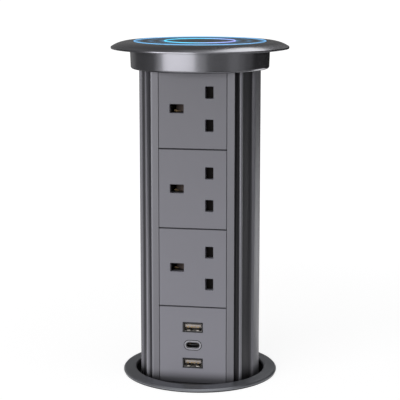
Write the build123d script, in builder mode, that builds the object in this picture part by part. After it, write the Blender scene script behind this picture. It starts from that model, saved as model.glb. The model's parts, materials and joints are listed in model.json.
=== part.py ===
from build123d import *
import os
from math import cos, degrees, pi, radians, sin, sqrt

# Pull-up desk socket tower with three sockets, a charging module and a wireless charging head.
# A round column with a flat front slides up through a flange that is clamped into a worktop.
# Lengths are in millimetres. The origin is on the column's axis in the plane of the worktop.
# +Z is up, the sockets face -Y, and the column is drawn fully raised.

# Column: a round aluminium extrusion, flat and open at the front
tower_radius = 41.7
flat_half_angle = 45.0
edge_slot_end_angle = 51.5
edge_slot_depth = 3.2
rib_end_angle = 56.0
side_groove_end_angle = 71.5
side_groove_depth = 2.2
column_wall = 1.8
column_lap = 2.9
column_bottom_z = -34.0
face_margin = 6.04
track_thickness = 1.2
track_lip_gap = 1.0
screw_port_radius = 3.2
screw_port_hole_radius = 1.6
screw_port_bite = 0.6
screw_port_angles = (95.0, 150.0, -150.0, -95.0)

# Head: a thin-rimmed disc over a collar that rests on the flange when the column is down
head_radius = 61.0
head_height = 4.9
head_chamber_height = 8.5
head_rim_height = 1.2
head_rim_round = 0.4
head_land_width = 3.5
head_skin = 1.4
pad_recess_radius = 45.5
pad_recess_depth = 1.8
light_ring_width = 1.5
pad_gap = 0.15
ring_groove_depth = 1.0
inner_ring_radius = 24.6
inner_ring_width = 1.1
spigot_wall = 1.6
spigot_drop = 3.0
collar_stand_out = 6.2
collar_taper = 0.5
collar_cover = 2.2
collar_round = 1.5
collar_wall = 2.8
fit_gap = 0.2
carrier_thickness = 3.0
board_peg_radius = 1.8
board_peg_height = 1.2
board_peg_inset = 4.0
board_peg_count = 4
wire_hole_radius = 6.0
disc_screw_stand_off = 8.0
disc_screw_angles = (60.0, 180.0, -60.0)

# Charging parts inside the head
coil_outer_radius = 22.0
coil_turns = 10
coil_wire_radius = 0.5
coil_turn_pitch = 1.25
ferrite_margin = 2.0
ferrite_thickness = 1.0
charger_board_radius = 28.0
board_thickness = 1.6
chip_height = 1.4
chip_length = 9.0
chip_width = 6.0

# Module rows in the front opening, counted down from the top
module_side_gap = 0.1
module_pitch = 54.4
module_seam = 0.3
lowest_seam_z = -1.5
face_thickness = 4.8
face_corner = 0.6
face_edge = 0.4
module_body_setback = 0.35
module_depth = 22.5
module_flange_reach = 3.4
module_flange_thickness = 4.6
module_flange_setback = 12.0
track_gap = 0.2

# Socket layout: earth on the left, live above neutral on the right
pin_spacing = 22.2
pin_group_shift = 0.3
line_slot_width = 5.4
line_slot_height = 8.0
earth_slot_width = 9.4
earth_slot_height = 5.8
slot_corner = 0.5
slot_edge = 0.3

# Shutter behind each socket face
shutter_travel = 6.6
shutter_thickness = 1.6
shutter_gap = 0.3
shutter_blade_height = 9.2
shutter_bar_width = 5.0
shutter_blade_overlap = 0.5
ramp_width = 5.2
ramp_depth = 6.9
spring_radius = 1.6
spring_wire_radius = 0.25
spring_turns = 6
spring_post_width = 1.6

# Contacts: brass strips behind the sockets with jaws that reach forward into the pin wells
jaw_thickness = 1.0
jaw_gap = 4.4
line_jaw_height = 6.4
earth_jaw_width = 8.0
line_well_height = 8.4
earth_well_width = 10.0
well_clearance = 0.2
strip_width = 5.0
strip_thickness = 1.2
line_strip_offset = 8.4
earth_strip_width = 6.0

# Charging module
usb_a_cut_width = 14.2
usb_a_cut_height = 7.2
usb_a_shell_width = 13.2
usb_a_shell_height = 5.8
usb_a_shell_wall = 0.4
usb_a_setback = 0.3
usb_a_tongue_width = 11.1
usb_a_tongue_thickness = 1.9
usb_a_tongue_setback = 1.2
usb_a_back_length = 3.0
usb_a_offset = 12.7
usb_c_cut_width = 12.6
usb_c_cut_height = 7.4
usb_c_bezel_gap = 0.25
usb_c_shell_width = 9.5
usb_c_shell_height = 3.9
usb_c_shell_wall = 0.3
usb_c_setback = 0.5
usb_c_tongue_width = 6.7
usb_c_tongue_thickness = 0.8
usb_c_tongue_setback = 1.0
usb_c_back_length = 2.0
usb_board_setback = 15.5
board_side_gap = 1.5
board_end_gap = 2.55
tray_wall = 1.5

# Base of the column
cap_thickness = 3.0
stop_lug_gap = 0.6
terminal_width = 30.0
terminal_depth = 16.0
terminal_height = 18.0
terminal_lift = 2.0
terminal_wire_radius = 2.6
terminal_wire_depth = 10.0
terminal_pitch = 9.5
gland_thread_radius = 8.0
gland_hex_radius = 12.5
gland_flange_height = 4.0
gland_thread_length = 12.0
gland_nut_height = 14.0
gland_nut_gap = 0.5
gland_dome_radius = 8.0
gland_cable_radius = 4.5
gland_setback = 0.5
locknut_height = 4.0

# Worktop flange, sleeve and clamp
bore_gap = 3.3
flange_width = 9.0
flange_top_z = 3.0
flange_lip_width = 0.6
flange_slope_drop = 0.6
flange_edge_chamfer = 0.8
flange_edge_height = 0.7
gasket_thickness = 0.8
gasket_inset = 0.4
gasket_bore_gap = 0.6
sleeve_wall = 3.0
sleeve_bottom_z = -62.0
running_gap = 0.35
seal_top_z = -6.0
seal_thickness = 2.0
stop_gap = 0.4
pad_angles = (115.0, 180.0, -115.0)
pad_spread_angle = 16.0
pad_height = 22.0
pad_seat_gap = 0.05
washer_slot_width = 6.0
washer_slot_depth = 1.2
washer_width = 9.0
washer_thickness = 2.5
washer_top_z = -26.5
rubber_thickness = 1.5
rubber_width = 6.0
nut_width = 9.0
nut_height = 11.0
nut_thread_gap = 0.08
nut_grip_count = 16
nut_grip_radius = 2.4
nut_chamfer = 1.0

# Screws
small_screw_radius = 1.4
small_head_radius = 2.4
small_head_height = 1.4
small_screw_length = 9.0

overrun = 1.0

# Places worked out from the sizes above
face_front_y = -tower_radius * cos(radians(flat_half_angle))
face_back_y = face_front_y + face_thickness
module_back_y = face_front_y + module_depth
front_opening_width = 2 * (tower_radius * sin(radians(flat_half_angle)) - face_margin)
module_width = front_opening_width - 2 * module_side_gap
module_body_width = module_width - 2 * module_body_setback
module_flange_width = module_body_width + 2 * module_flange_reach
face_height = module_pitch - module_seam
socket_names = ("top", "middle", "lower")
top_seam_z = lowest_seam_z + (len(socket_names) + 1) * module_pitch
socket_middles = [top_seam_z - (row + 1 / 2) * module_pitch for row in range(len(socket_names))]
usb_middle = lowest_seam_z + module_pitch / 2
usb_board_width = module_body_width - 2 * (tray_wall + board_side_gap)
usb_board_height = face_height - 2 * (tray_wall + board_end_gap)
blank_top_z = lowest_seam_z - module_seam / 2
line_x = pin_spacing / 2 + pin_group_shift
earth_x = line_x - pin_spacing
column_top_z = top_seam_z + column_lap
carrier_top_z = column_top_z + carrier_thickness
rim_bottom_z = column_top_z + head_chamber_height
head_top_z = rim_bottom_z + head_height
head_flat_radius = pad_recess_radius + head_land_width
recess_floor_z = head_top_z - pad_recess_depth
head_ceiling_z = recess_floor_z - head_skin
pad_radius = pad_recess_radius - light_ring_width
collar_bottom_z = top_seam_z - collar_cover
collar_top_radius = tower_radius + collar_stand_out
collar_bottom_radius = collar_top_radius - collar_taper
collar_chamber_radius = collar_top_radius - collar_wall
carrier_radius = collar_chamber_radius - fit_gap
board_peg_circle_radius = charger_board_radius - board_peg_inset
disc_screw_circle_radius = charger_board_radius + disc_screw_stand_off
flange_bottom_z = gasket_thickness
flange_bore_radius = tower_radius + bore_gap
flange_outer_radius = flange_bore_radius + flange_width
sleeve_outer_radius = flange_bore_radius + sleeve_wall
stop_lug_radius = flange_bore_radius - stop_lug_gap
groove_floor_radius = tower_radius - side_groove_depth
screw_port_circle_radius = tower_radius - column_wall - screw_port_radius + screw_port_bite
cap_bottom_z = column_bottom_z - cap_thickness
sides = (-1, 1)


def around(radius, angle):
    """Point on a circle about the column's axis, its angle counted from the front."""
    return (radius * sin(radians(angle)), -radius * cos(radians(angle)))


def facing(y, z=0):
    """Plane that looks out of the front: its first axis is +X and its second is +Z."""
    return Plane(origin=(0, y, z), x_dir=(1, 0, 0), z_dir=(0, -1, 0))


os.makedirs("parts", exist_ok=True)


def save(piece, name):
    """Label a finished piece and write it to its own file."""
    piece.part.label = name
    export_step(piece.part, f"parts/{name}.step")


class ColumnOutline(BaseSketchObject):
    """The column's round section with its flat front, grown all round by a gap."""

    def __init__(self, gap=0, mode=Mode.ADD):
        width = 2 * (tower_radius + gap)
        with BuildSketch() as outline:
            Circle(tower_radius + gap)
            with Locations((0, face_front_y - gap)):
                Rectangle(width, width, align=(Align.CENTER, Align.MAX), mode=Mode.SUBTRACT)
        super().__init__(outline.sketch, rotation=0, align=None, mode=mode)


class RingSector(BaseSketchObject):
    """Part of a ring between two radii, centred on an angle from the front."""

    def __init__(self, inner_radius, outer_radius, middle_angle, spread_angle, mode=Mode.ADD):
        start_angle = middle_angle - spread_angle / 2 - 90
        with BuildSketch() as sector:
            with BuildLine():
                outer = CenterArc((0, 0), outer_radius, start_angle, spread_angle)
                inner = CenterArc((0, 0), inner_radius, start_angle, spread_angle)
                Line(inner @ 0, outer @ 0)
                Line(inner @ 1, outer @ 1)
            make_face()
        super().__init__(sector.sketch, rotation=0, align=None, mode=mode)


class ColumnShape(BaseSketchObject):
    """The column's profile with its edge slots and wide grooves, or the same set in by a wall."""

    def __init__(self, inset=0, mode=Mode.ADD):
        inset_angle = degrees(inset / tower_radius)
        with BuildSketch() as profile:
            ColumnOutline(gap=-inset)
            for side in sides:
                RingSector(
                    tower_radius - edge_slot_depth - inset,
                    tower_radius + overrun,
                    side * (flat_half_angle + edge_slot_end_angle) / 2,
                    edge_slot_end_angle - flat_half_angle + 2 * inset_angle,
                    mode=Mode.SUBTRACT,
                )
                RingSector(
                    groove_floor_radius - inset,
                    tower_radius + overrun,
                    side * (rib_end_angle + side_groove_end_angle) / 2,
                    side_groove_end_angle - rib_end_angle + 2 * inset_angle,
                    mode=Mode.SUBTRACT,
                )
        super().__init__(profile.sketch, rotation=0, align=None, mode=mode)


class ModuleSection(BaseSketchObject):
    """Plan section of a module's housing, with the flanges that slide in the column's tracks."""

    def __init__(self, mode=Mode.ADD):
        with BuildSketch() as section:
            with Locations((0, face_back_y)):
                Rectangle(
                    module_body_width,
                    module_back_y - face_back_y,
                    align=(Align.CENTER, Align.MIN),
                )
            with Locations((0, face_front_y + module_flange_setback)):
                Rectangle(module_flange_width, module_flange_thickness)
        super().__init__(section.sketch, rotation=0, align=None, mode=mode)


class FacePlate(BasePartObject):
    """Blank front plate of a module, flush with the column's flat face, its front edges broken."""

    def __init__(self, middle_z, height, mode=Mode.ADD):
        with BuildPart() as plate:
            with BuildSketch(facing(face_front_y, middle_z)):
                RectangleRounded(module_width, height, face_corner)
            extrude(amount=-face_thickness)
            chamfer(plate.faces().sort_by(Axis.Y)[0].outer_wire().edges(), face_edge)
        super().__init__(plate.part, rotation=(0, 0, 0), align=None, mode=mode)


# Column extrusion
track_inner_x = module_body_width / 2 + track_lip_gap
track_offset = (module_flange_thickness + track_thickness) / 2 + track_gap
track_centres = [face_front_y + module_flange_setback + side * track_offset for side in sides]
with BuildPart() as column_extrusion:
    with BuildSketch(Plane.XY.offset(column_bottom_z)):
        ColumnShape()
        ColumnShape(inset=column_wall, mode=Mode.SUBTRACT)
        with Locations((0, face_front_y)):
            Rectangle(front_opening_width, 2 * column_wall + overrun, mode=Mode.SUBTRACT)
        for track_y in track_centres:
            track_outer_x = sqrt((groove_floor_radius - column_wall / 2) ** 2 - track_y**2)
            for side in sides:
                with Locations((side * (track_inner_x + track_outer_x) / 2, track_y)):
                    Rectangle(track_outer_x - track_inner_x, track_thickness)
        with Locations([around(screw_port_circle_radius, angle) for angle in screw_port_angles]):
            Circle(screw_port_radius)
            Circle(screw_port_hole_radius, mode=Mode.SUBTRACT)
    extrude(amount=column_top_z - column_bottom_z)
save(column_extrusion, "column_extrusion")

# Head disc: flat on top, falling in one curve to a thin rim, with a recess for the charging pad
spigot_outer_radius = collar_chamber_radius - fit_gap
spigot_inner_radius = spigot_outer_radius - spigot_wall
spigot_bottom_z = rim_bottom_z - spigot_drop
disc_screw_places = [around(disc_screw_circle_radius, angle) for angle in disc_screw_angles]
with BuildPart() as head_disc:
    with BuildSketch(Plane.XZ) as disc_profile:
        with BuildLine():
            underside = Polyline(
                (0, head_ceiling_z),
                (spigot_inner_radius, head_ceiling_z),
                (spigot_inner_radius, spigot_bottom_z),
                (spigot_outer_radius, spigot_bottom_z),
                (spigot_outer_radius, rim_bottom_z),
                (head_radius, rim_bottom_z),
                (head_radius, rim_bottom_z + head_rim_height),
            )
            TangentArc((head_flat_radius, head_top_z), underside @ 1, tangent=(1, 0))
            Polyline(
                (head_flat_radius, head_top_z),
                (pad_recess_radius, head_top_z),
                (pad_recess_radius, recess_floor_z),
                (0, recess_floor_z),
                (0, head_ceiling_z),
            )
        make_face()
        fillet(disc_profile.vertices().group_by(Axis.X)[-1], head_rim_round)
    revolve(axis=Axis.Z)
    with BuildSketch(Plane.XY.offset(carrier_top_z)):
        with Locations(disc_screw_places):
            Circle(small_head_radius)
    extrude(amount=head_ceiling_z - carrier_top_z + head_skin / 2)
    with BuildSketch(Plane.XY.offset(carrier_top_z)):
        with Locations(disc_screw_places):
            Circle(small_screw_radius)
    extrude(amount=small_head_height + small_screw_length + fit_gap - carrier_thickness, mode=Mode.SUBTRACT)
save(head_disc, "head_disc")

# Collar under the disc, its bore cut to the column's outline
with BuildPart() as collar:
    with BuildSketch(Plane.XZ):
        with BuildLine():
            Polyline(
                (0, collar_bottom_z),
                (collar_bottom_radius, collar_bottom_z),
                (collar_top_radius, rim_bottom_z),
                (0, rim_bottom_z),
                close=True,
            )
        make_face()
    revolve(axis=Axis.Z)
    fillet(collar.faces().sort_by(Axis.Z)[0].outer_wire().edges(), collar_round)
    with BuildSketch(Plane.XY.offset(collar_bottom_z)):
        ColumnOutline(gap=fit_gap)
    extrude(amount=column_top_z - collar_bottom_z, mode=Mode.SUBTRACT)
    with BuildSketch(Plane.XY.offset(column_top_z)):
        Circle(collar_chamber_radius)
    extrude(amount=rim_bottom_z - column_top_z, mode=Mode.SUBTRACT)
save(collar, "collar")

# Carrier plate: screwed to the column's top, it traps the collar and holds the disc
port_places = [around(screw_port_circle_radius, angle) for angle in screw_port_angles]
with BuildPart() as head_carrier:
    with BuildSketch(Plane.XY.offset(column_top_z)):
        Circle(carrier_radius)
        Circle(wire_hole_radius, mode=Mode.SUBTRACT)
        with Locations(port_places + disc_screw_places):
            Circle(small_screw_radius + fit_gap, mode=Mode.SUBTRACT)
    extrude(amount=carrier_thickness)
    with BuildSketch(Plane.XY.offset(column_top_z)):
        with Locations(disc_screw_places):
            Circle(small_head_radius + fit_gap)
    extrude(amount=small_head_height + fit_gap, mode=Mode.SUBTRACT)
    with BuildSketch(Plane.XY.offset(carrier_top_z)):
        with PolarLocations(board_peg_circle_radius, board_peg_count, start_angle=45):
            Circle(board_peg_radius)
    extrude(amount=board_peg_height)
save(head_carrier, "head_carrier")

# Charging pad, set flush into the disc, with a groove for the inner light ring
with BuildPart() as charging_pad:
    with BuildSketch(Plane.XY.offset(recess_floor_z)):
        Circle(pad_radius)
    extrude(amount=pad_recess_depth)
    with BuildSketch(Plane.XY.offset(head_top_z - ring_groove_depth)):
        Circle(inner_ring_radius)
        Circle(inner_ring_radius - inner_ring_width, mode=Mode.SUBTRACT)
    extrude(amount=ring_groove_depth, mode=Mode.SUBTRACT)
save(charging_pad, "charging_pad")

with BuildPart() as light_ring_outer:
    with BuildSketch(Plane.XY.offset(recess_floor_z)):
        Circle(pad_recess_radius - pad_gap)
        Circle(pad_radius + pad_gap, mode=Mode.SUBTRACT)
    extrude(amount=pad_recess_depth)
save(light_ring_outer, "light_ring_outer")

with BuildPart() as light_ring_inner:
    with BuildSketch(Plane.XY.offset(head_top_z - ring_groove_depth)):
        Circle(inner_ring_radius - pad_gap)
        Circle(inner_ring_radius - inner_ring_width + pad_gap, mode=Mode.SUBTRACT)
    extrude(amount=ring_groove_depth)
save(light_ring_inner, "light_ring_inner")

# Charging coil: concentric wire turns on a thin web under the disc's ceiling, ferrite below it
coil_bottom_z = head_ceiling_z - 2 * coil_wire_radius
with BuildPart() as charging_coil:
    with BuildSketch(Plane.XY.offset(coil_bottom_z)):
        Circle(coil_outer_radius)
        Circle(coil_outer_radius - coil_turns * coil_turn_pitch, mode=Mode.SUBTRACT)
    extrude(amount=2 * coil_wire_radius)
    with BuildSketch(Plane.XY.offset(coil_bottom_z)):
        for turn in range(1, coil_turns):
            Circle(coil_outer_radius - turn * coil_turn_pitch + coil_wire_radius / 2)
            Circle(coil_outer_radius - turn * coil_turn_pitch, mode=Mode.SUBTRACT)
    extrude(amount=coil_wire_radius, mode=Mode.SUBTRACT)
save(charging_coil, "charging_coil")

with BuildPart() as ferrite_disc:
    with BuildSketch(Plane.XY.offset(coil_bottom_z - ferrite_thickness)):
        Circle(coil_outer_radius + ferrite_margin)
    extrude(amount=ferrite_thickness)
save(ferrite_disc, "ferrite_disc")

board_bottom_z = carrier_top_z + board_peg_height
with BuildPart() as charger_board:
    with BuildSketch(Plane.XY.offset(board_bottom_z)):
        Circle(charger_board_radius)
    extrude(amount=board_thickness)
    with BuildSketch(Plane.XY.offset(board_bottom_z + board_thickness)):
        with PolarLocations(charger_board_radius / 2, 3):
            Rectangle(chip_length, chip_width)
    extrude(amount=chip_height)
save(charger_board, "charger_board")


def make_screws(name, places, seat_z, up):
    """Pan-head screws standing on a seat, their shanks pointing up or down."""
    shank = small_screw_length if up else -small_screw_length
    head = -small_head_height if up else small_head_height
    with BuildPart() as screws:
        with BuildSketch(Plane.XY.offset(seat_z)):
            with Locations(places):
                Circle(small_head_radius)
        extrude(amount=head)
        with BuildSketch(Plane.XY.offset(seat_z)):
            with Locations(places):
                Circle(small_screw_radius)
        extrude(amount=shank)
    save(screws, name)


make_screws("carrier_screws", port_places, carrier_top_z, up=False)
make_screws("disc_screws", disc_screw_places, column_top_z + small_head_height, up=True)
make_screws("base_screws", port_places, cap_bottom_z, up=True)

# Sockets: pin places in a face's own plane, across and up from its middle
live_place = (line_x, pin_spacing / 2)
neutral_place = (line_x, -pin_spacing / 2)
earth_place = (earth_x, 0)
shutter_front_y = face_back_y + shutter_gap
shutter_back_y = shutter_front_y + shutter_thickness
tray_back_y = shutter_back_y + shutter_gap
blade_left_x = line_x - line_slot_width / 2 - shutter_blade_overlap
blade_right_x = blade_left_x + shutter_travel
blade_half_span = pin_spacing / 2 + shutter_blade_height / 2
waist_half_height = pin_spacing / 2 - line_slot_height / 2 - shutter_gap
spring_slot_height = 2 * (spring_radius + 2 * shutter_gap)
bar_left_x = blade_left_x - shutter_travel - shutter_bar_width / 2
bar_right_x = bar_left_x + shutter_bar_width
ramp_right_x = earth_x + earth_slot_width / 2
ramp_left_x = ramp_right_x - shutter_travel - shutter_blade_overlap
ramp_back_y = shutter_front_y + ramp_depth
spring_y = tray_back_y
spring_seat_x = blade_right_x + shutter_travel - spring_post_width
line_well_width = jaw_gap + 2 * jaw_thickness + 2 * well_clearance
earth_well_height = jaw_gap + 2 * jaw_thickness + 2 * well_clearance


def make_socket_face(name, middle_z):
    """Front plate with its three pin slots."""
    with BuildPart() as face:
        FacePlate(middle_z, face_height)
        with BuildSketch(facing(face_front_y, middle_z)):
            with Locations(live_place, neutral_place):
                RectangleRounded(line_slot_width, line_slot_height, slot_corner)
            with Locations(earth_place):
                RectangleRounded(earth_slot_width, earth_slot_height, slot_corner)
        extrude(amount=-face_thickness, mode=Mode.SUBTRACT)
        front = face.faces().sort_by(Axis.Y)[0]
        chamfer([edge for hole in front.inner_wires() for edge in hole.edges()], slot_edge)
    save(face, name)


def make_shutter(name, middle_z):
    """Sliding plate: two blades cover the line slots and a ramp behind the earth slot drives it aside."""
    with BuildPart() as shutter:
        with BuildSketch(facing(shutter_front_y, middle_z)):
            with Locations(((bar_left_x + blade_right_x) / 2, 0)):
                Rectangle(blade_right_x - bar_left_x, 2 * waist_half_height)
            with Locations(((blade_left_x + blade_right_x) / 2, 0)):
                Rectangle(blade_right_x - blade_left_x, 2 * blade_half_span)
            with Locations((bar_right_x, 0)):
                Rectangle(
                    blade_right_x - bar_right_x + overrun,
                    spring_slot_height,
                    align=(Align.MIN, Align.CENTER),
                    mode=Mode.SUBTRACT,
                )
            with Locations((ramp_right_x, 0)):
                Rectangle(
                    bar_left_x - ramp_right_x + overrun,
                    ramp_width,
                    align=(Align.MIN, Align.CENTER),
                )
        extrude(amount=-shutter_thickness)
        with BuildSketch(Plane.XY.offset(middle_z)):
            with BuildLine():
                Polyline(
                    (ramp_right_x, shutter_front_y),
                    (ramp_left_x, ramp_back_y),
                    (ramp_right_x + shutter_thickness, ramp_back_y),
                    (ramp_right_x + shutter_thickness, shutter_front_y),
                    close=True,
                )
            make_face()
        extrude(amount=ramp_width / 2, both=True)
        with BuildSketch(Plane.XY.offset(middle_z)):
            with Locations((bar_right_x, shutter_back_y - shutter_thickness / 2)):
                Rectangle(shutter_thickness, spring_radius + shutter_thickness, align=(Align.MAX, Align.MIN))
        extrude(amount=spring_radius, both=True)
    save(shutter, name)


def make_shutter_spring(name, middle_z):
    """Coil spring along X between the shutter's bar and the housing's post."""
    length = spring_seat_x - bar_right_x
    coil_length = length - 2 * spring_wire_radius
    coil_radius = spring_radius - spring_wire_radius
    pitch = coil_length / spring_turns
    start = (bar_right_x + spring_wire_radius, spring_y, middle_z)
    with BuildPart() as spring:
        with BuildLine():
            coil = Helix(pitch, coil_length, coil_radius, center=start, direction=(1, 0, 0))
        with BuildSketch(Plane(origin=coil @ 0, z_dir=coil % 0)):
            RegularPolygon(spring_wire_radius, 6)
        sweep(is_frenet=True)
    save(spring, name)


def make_socket_back(name, middle_z):
    """Rear housing: tray for the shutter, spring channel and three wells for the contacts."""
    with BuildPart() as housing:
        with BuildSketch(Plane.XY.offset(middle_z - face_height / 2)):
            ModuleSection()
        extrude(amount=face_height)
        tray_left_x = ramp_left_x - shutter_gap
        tray_right_x = blade_right_x + shutter_travel + shutter_gap
        with BuildSketch(facing(face_back_y, middle_z)):
            with Locations(((bar_left_x - shutter_gap + tray_right_x) / 2, 0)):
                Rectangle(tray_right_x - bar_left_x + shutter_gap, 2 * (blade_half_span + shutter_gap))
            with Locations((spring_seat_x, 0)):
                Rectangle(
                    spring_post_width + overrun,
                    2 * spring_radius,
                    align=(Align.MIN, Align.CENTER),
                    mode=Mode.SUBTRACT,
                )
        extrude(amount=face_back_y - tray_back_y, mode=Mode.SUBTRACT)
        with BuildSketch(facing(face_back_y, middle_z)):
            with Locations(((tray_left_x + bar_right_x + shutter_travel) / 2, 0)):
                Rectangle(bar_right_x + shutter_travel - tray_left_x, ramp_width + 2 * shutter_gap)
        extrude(amount=face_back_y - ramp_back_y - shutter_gap, mode=Mode.SUBTRACT)
        with BuildSketch(facing(face_back_y, middle_z)):
            with Locations((bar_right_x, 0)):
                Rectangle(
                    spring_seat_x - bar_right_x,
                    2 * (spring_radius + shutter_gap),
                    align=(Align.MIN, Align.CENTER),
                )
        extrude(amount=face_back_y - tray_back_y - spring_radius - shutter_gap, mode=Mode.SUBTRACT)
        with BuildSketch(facing(face_back_y, middle_z)):
            with Locations(live_place, neutral_place):
                Rectangle(line_well_width, line_well_height)
            with Locations(earth_place):
                Rectangle(earth_well_width, earth_well_height)
        extrude(amount=-(module_back_y - face_back_y), mode=Mode.SUBTRACT)
    save(housing, name)


socket_rows = list(zip(socket_names, socket_middles))
for row_name, row_z in socket_rows:
    make_socket_face(f"socket_face_{row_name}", row_z)
    make_shutter(f"shutter_{row_name}", row_z)
    make_shutter_spring(f"shutter_spring_{row_name}", row_z)
    make_socket_back(f"socket_back_{row_name}", row_z)

# Contact strips, one for each pole, shared by the three sockets
line_jaw_front_y = tray_back_y + shutter_gap
earth_jaw_front_y = ramp_back_y + 2 * shutter_gap
strip_top_z = socket_middles[0] + pin_spacing / 2 + line_jaw_height
strip_bottom_z = socket_middles[-1] - pin_spacing / 2 - line_jaw_height


def make_line_busbar(name, pin_z, strip_x):
    """Strip behind the sockets with a tab and a pair of upright jaws at each pin."""
    tab_height = line_jaw_height
    tab_width = jaw_gap + 2 * jaw_thickness
    with BuildPart() as busbar:
        with BuildSketch(facing(module_back_y)):
            with Locations((strip_x, (strip_top_z + strip_bottom_z) / 2)):
                Rectangle(strip_width, strip_top_z - strip_bottom_z)
            with Locations([(line_x, row_z + pin_z) for row_z in socket_middles]):
                Rectangle(tab_width, tab_height)
            with Locations([((line_x + strip_x) / 2, row_z + pin_z) for row_z in socket_middles]):
                Rectangle(line_strip_offset, tab_height)
        extrude(amount=-strip_thickness)
        jaw_places = [
            (line_x + side * (jaw_gap + jaw_thickness) / 2, row_z + pin_z)
            for row_z in socket_middles
            for side in sides
        ]
        with BuildSketch(facing(module_back_y)):
            with Locations(jaw_places):
                Rectangle(jaw_thickness, tab_height)
        extrude(amount=module_back_y - line_jaw_front_y)
    save(busbar, name)


make_line_busbar("live_busbar", pin_spacing / 2, line_x + line_strip_offset)
make_line_busbar("neutral_busbar", -pin_spacing / 2, line_x - line_strip_offset)

with BuildPart() as earth_busbar:
    with BuildSketch(facing(module_back_y)):
        with Locations((earth_x, (strip_top_z + strip_bottom_z) / 2)):
            Rectangle(earth_strip_width, strip_top_z - strip_bottom_z)
        with Locations([(earth_x, row_z) for row_z in socket_middles]):
            Rectangle(earth_jaw_width, jaw_gap + 2 * jaw_thickness)
    extrude(amount=-strip_thickness)
    earth_jaw_places = [
        (earth_x, row_z + side * (jaw_gap + jaw_thickness) / 2)
        for row_z in socket_middles
        for side in sides
    ]
    with BuildSketch(facing(module_back_y)):
        with Locations(earth_jaw_places):
            Rectangle(earth_jaw_width, jaw_thickness)
    extrude(amount=module_back_y - earth_jaw_front_y)
save(earth_busbar, "earth_busbar")

# Charging module: front plate, two wide ports, one small port in a raised bezel, board and tray
wide_port_places = [(0, side * usb_a_offset) for side in sides]
with BuildPart() as usb_face:
    FacePlate(usb_middle, face_height)
    with BuildSketch(facing(face_front_y, usb_middle)):
        with Locations(wide_port_places):
            Rectangle(usb_a_cut_width, usb_a_cut_height)
        SlotOverall(usb_c_cut_width, usb_c_cut_height)
    extrude(amount=-face_thickness, mode=Mode.SUBTRACT)
save(usb_face, "usb_face")

usb_board_front_y = face_front_y + usb_board_setback


def make_wide_port(name, middle_z):
    """Sheet-metal shell, open in front, with the contact tongue inside near its top."""
    front_y = face_front_y + usb_a_setback
    length = usb_board_front_y - front_y
    inner_width = usb_a_shell_width - 2 * usb_a_shell_wall
    inner_height = usb_a_shell_height - 2 * usb_a_shell_wall
    with BuildPart() as port:
        with BuildSketch(facing(front_y, middle_z)):
            Rectangle(usb_a_shell_width, usb_a_shell_height)
        extrude(amount=-length)
        with BuildSketch(facing(front_y, middle_z)):
            Rectangle(inner_width, inner_height)
        extrude(amount=-(length - usb_a_back_length), mode=Mode.SUBTRACT)
        with BuildSketch(facing(front_y + usb_a_tongue_setback, middle_z)):
            with Locations((0, inner_height / 2 - usb_a_tongue_thickness)):
                Rectangle(usb_a_tongue_width, usb_a_tongue_thickness)
        extrude(amount=-(length - usb_a_tongue_setback))
    save(port, name)


make_wide_port("usb_a_port_upper", usb_middle + usb_a_offset)
make_wide_port("usb_a_port_lower", usb_middle - usb_a_offset)

with BuildPart() as usb_c_bezel:
    with BuildSketch(facing(face_front_y, usb_middle)):
        SlotOverall(usb_c_cut_width - 2 * usb_c_bezel_gap, usb_c_cut_height - 2 * usb_c_bezel_gap)
        SlotOverall(
            usb_c_shell_width + 2 * pad_gap,
            usb_c_shell_height + 2 * pad_gap,
            mode=Mode.SUBTRACT,
        )
    extrude(amount=-face_thickness)
save(usb_c_bezel, "usb_c_bezel")

with BuildPart() as usb_c_port:
    small_front_y = face_front_y + usb_c_setback
    small_length = usb_board_front_y - small_front_y
    with BuildSketch(facing(small_front_y, usb_middle)):
        SlotOverall(usb_c_shell_width, usb_c_shell_height)
    extrude(amount=-small_length)
    with BuildSketch(facing(small_front_y, usb_middle)):
        SlotOverall(
            usb_c_shell_width - 2 * usb_c_shell_wall,
            usb_c_shell_height - 2 * usb_c_shell_wall,
        )
    extrude(amount=-(small_length - usb_c_back_length), mode=Mode.SUBTRACT)
    with BuildSketch(facing(small_front_y + usb_c_tongue_setback, usb_middle)):
        Rectangle(usb_c_tongue_width, usb_c_tongue_thickness)
    extrude(amount=-(small_length - usb_c_tongue_setback))
save(usb_c_port, "usb_c_port")

board_post_places = [
    (side * (usb_board_width / 2 - board_peg_radius), end * (usb_board_height / 2 - board_peg_radius))
    for side in sides
    for end in sides
]
with BuildPart() as usb_board:
    with BuildSketch(facing(usb_board_front_y, usb_middle)):
        Rectangle(usb_board_width, usb_board_height)
    extrude(amount=-board_thickness)
    with BuildSketch(facing(usb_board_front_y, usb_middle)):
        with Locations([(side * usb_board_width / 3, 0) for side in sides]):
            Rectangle(chip_width, 2 * chip_length)
    extrude(amount=chip_height)
save(usb_board, "usb_board")


def make_tray(name, bottom_z, height, post_places=()):
    """Open-fronted housing that slides in the tracks, with posts for the board at the given places."""
    with BuildPart() as tray:
        with BuildSketch(Plane.XY.offset(bottom_z)):
            ModuleSection()
        extrude(amount=height)
        with BuildSketch(facing(face_back_y, bottom_z + height / 2)):
            Rectangle(module_body_width - 2 * tray_wall, height - 2 * tray_wall)
        extrude(amount=-(module_back_y - face_back_y - tray_wall), mode=Mode.SUBTRACT)
        if post_places:
            with BuildSketch(facing(usb_board_front_y + board_thickness, bottom_z + height / 2)):
                with Locations(post_places):
                    Circle(board_peg_radius)
            extrude(amount=-(module_back_y - tray_wall - usb_board_front_y - board_thickness))
    save(tray, name)


make_tray("usb_back", usb_middle - face_height / 2, face_height, board_post_places)

# Blank module that closes the column's front below the charging module
blank_height = blank_top_z - column_bottom_z
with BuildPart() as blank_face:
    FacePlate(column_bottom_z + blank_height / 2, blank_height)
save(blank_face, "blank_face")
make_tray("blank_back", column_bottom_z, blank_height)

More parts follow.
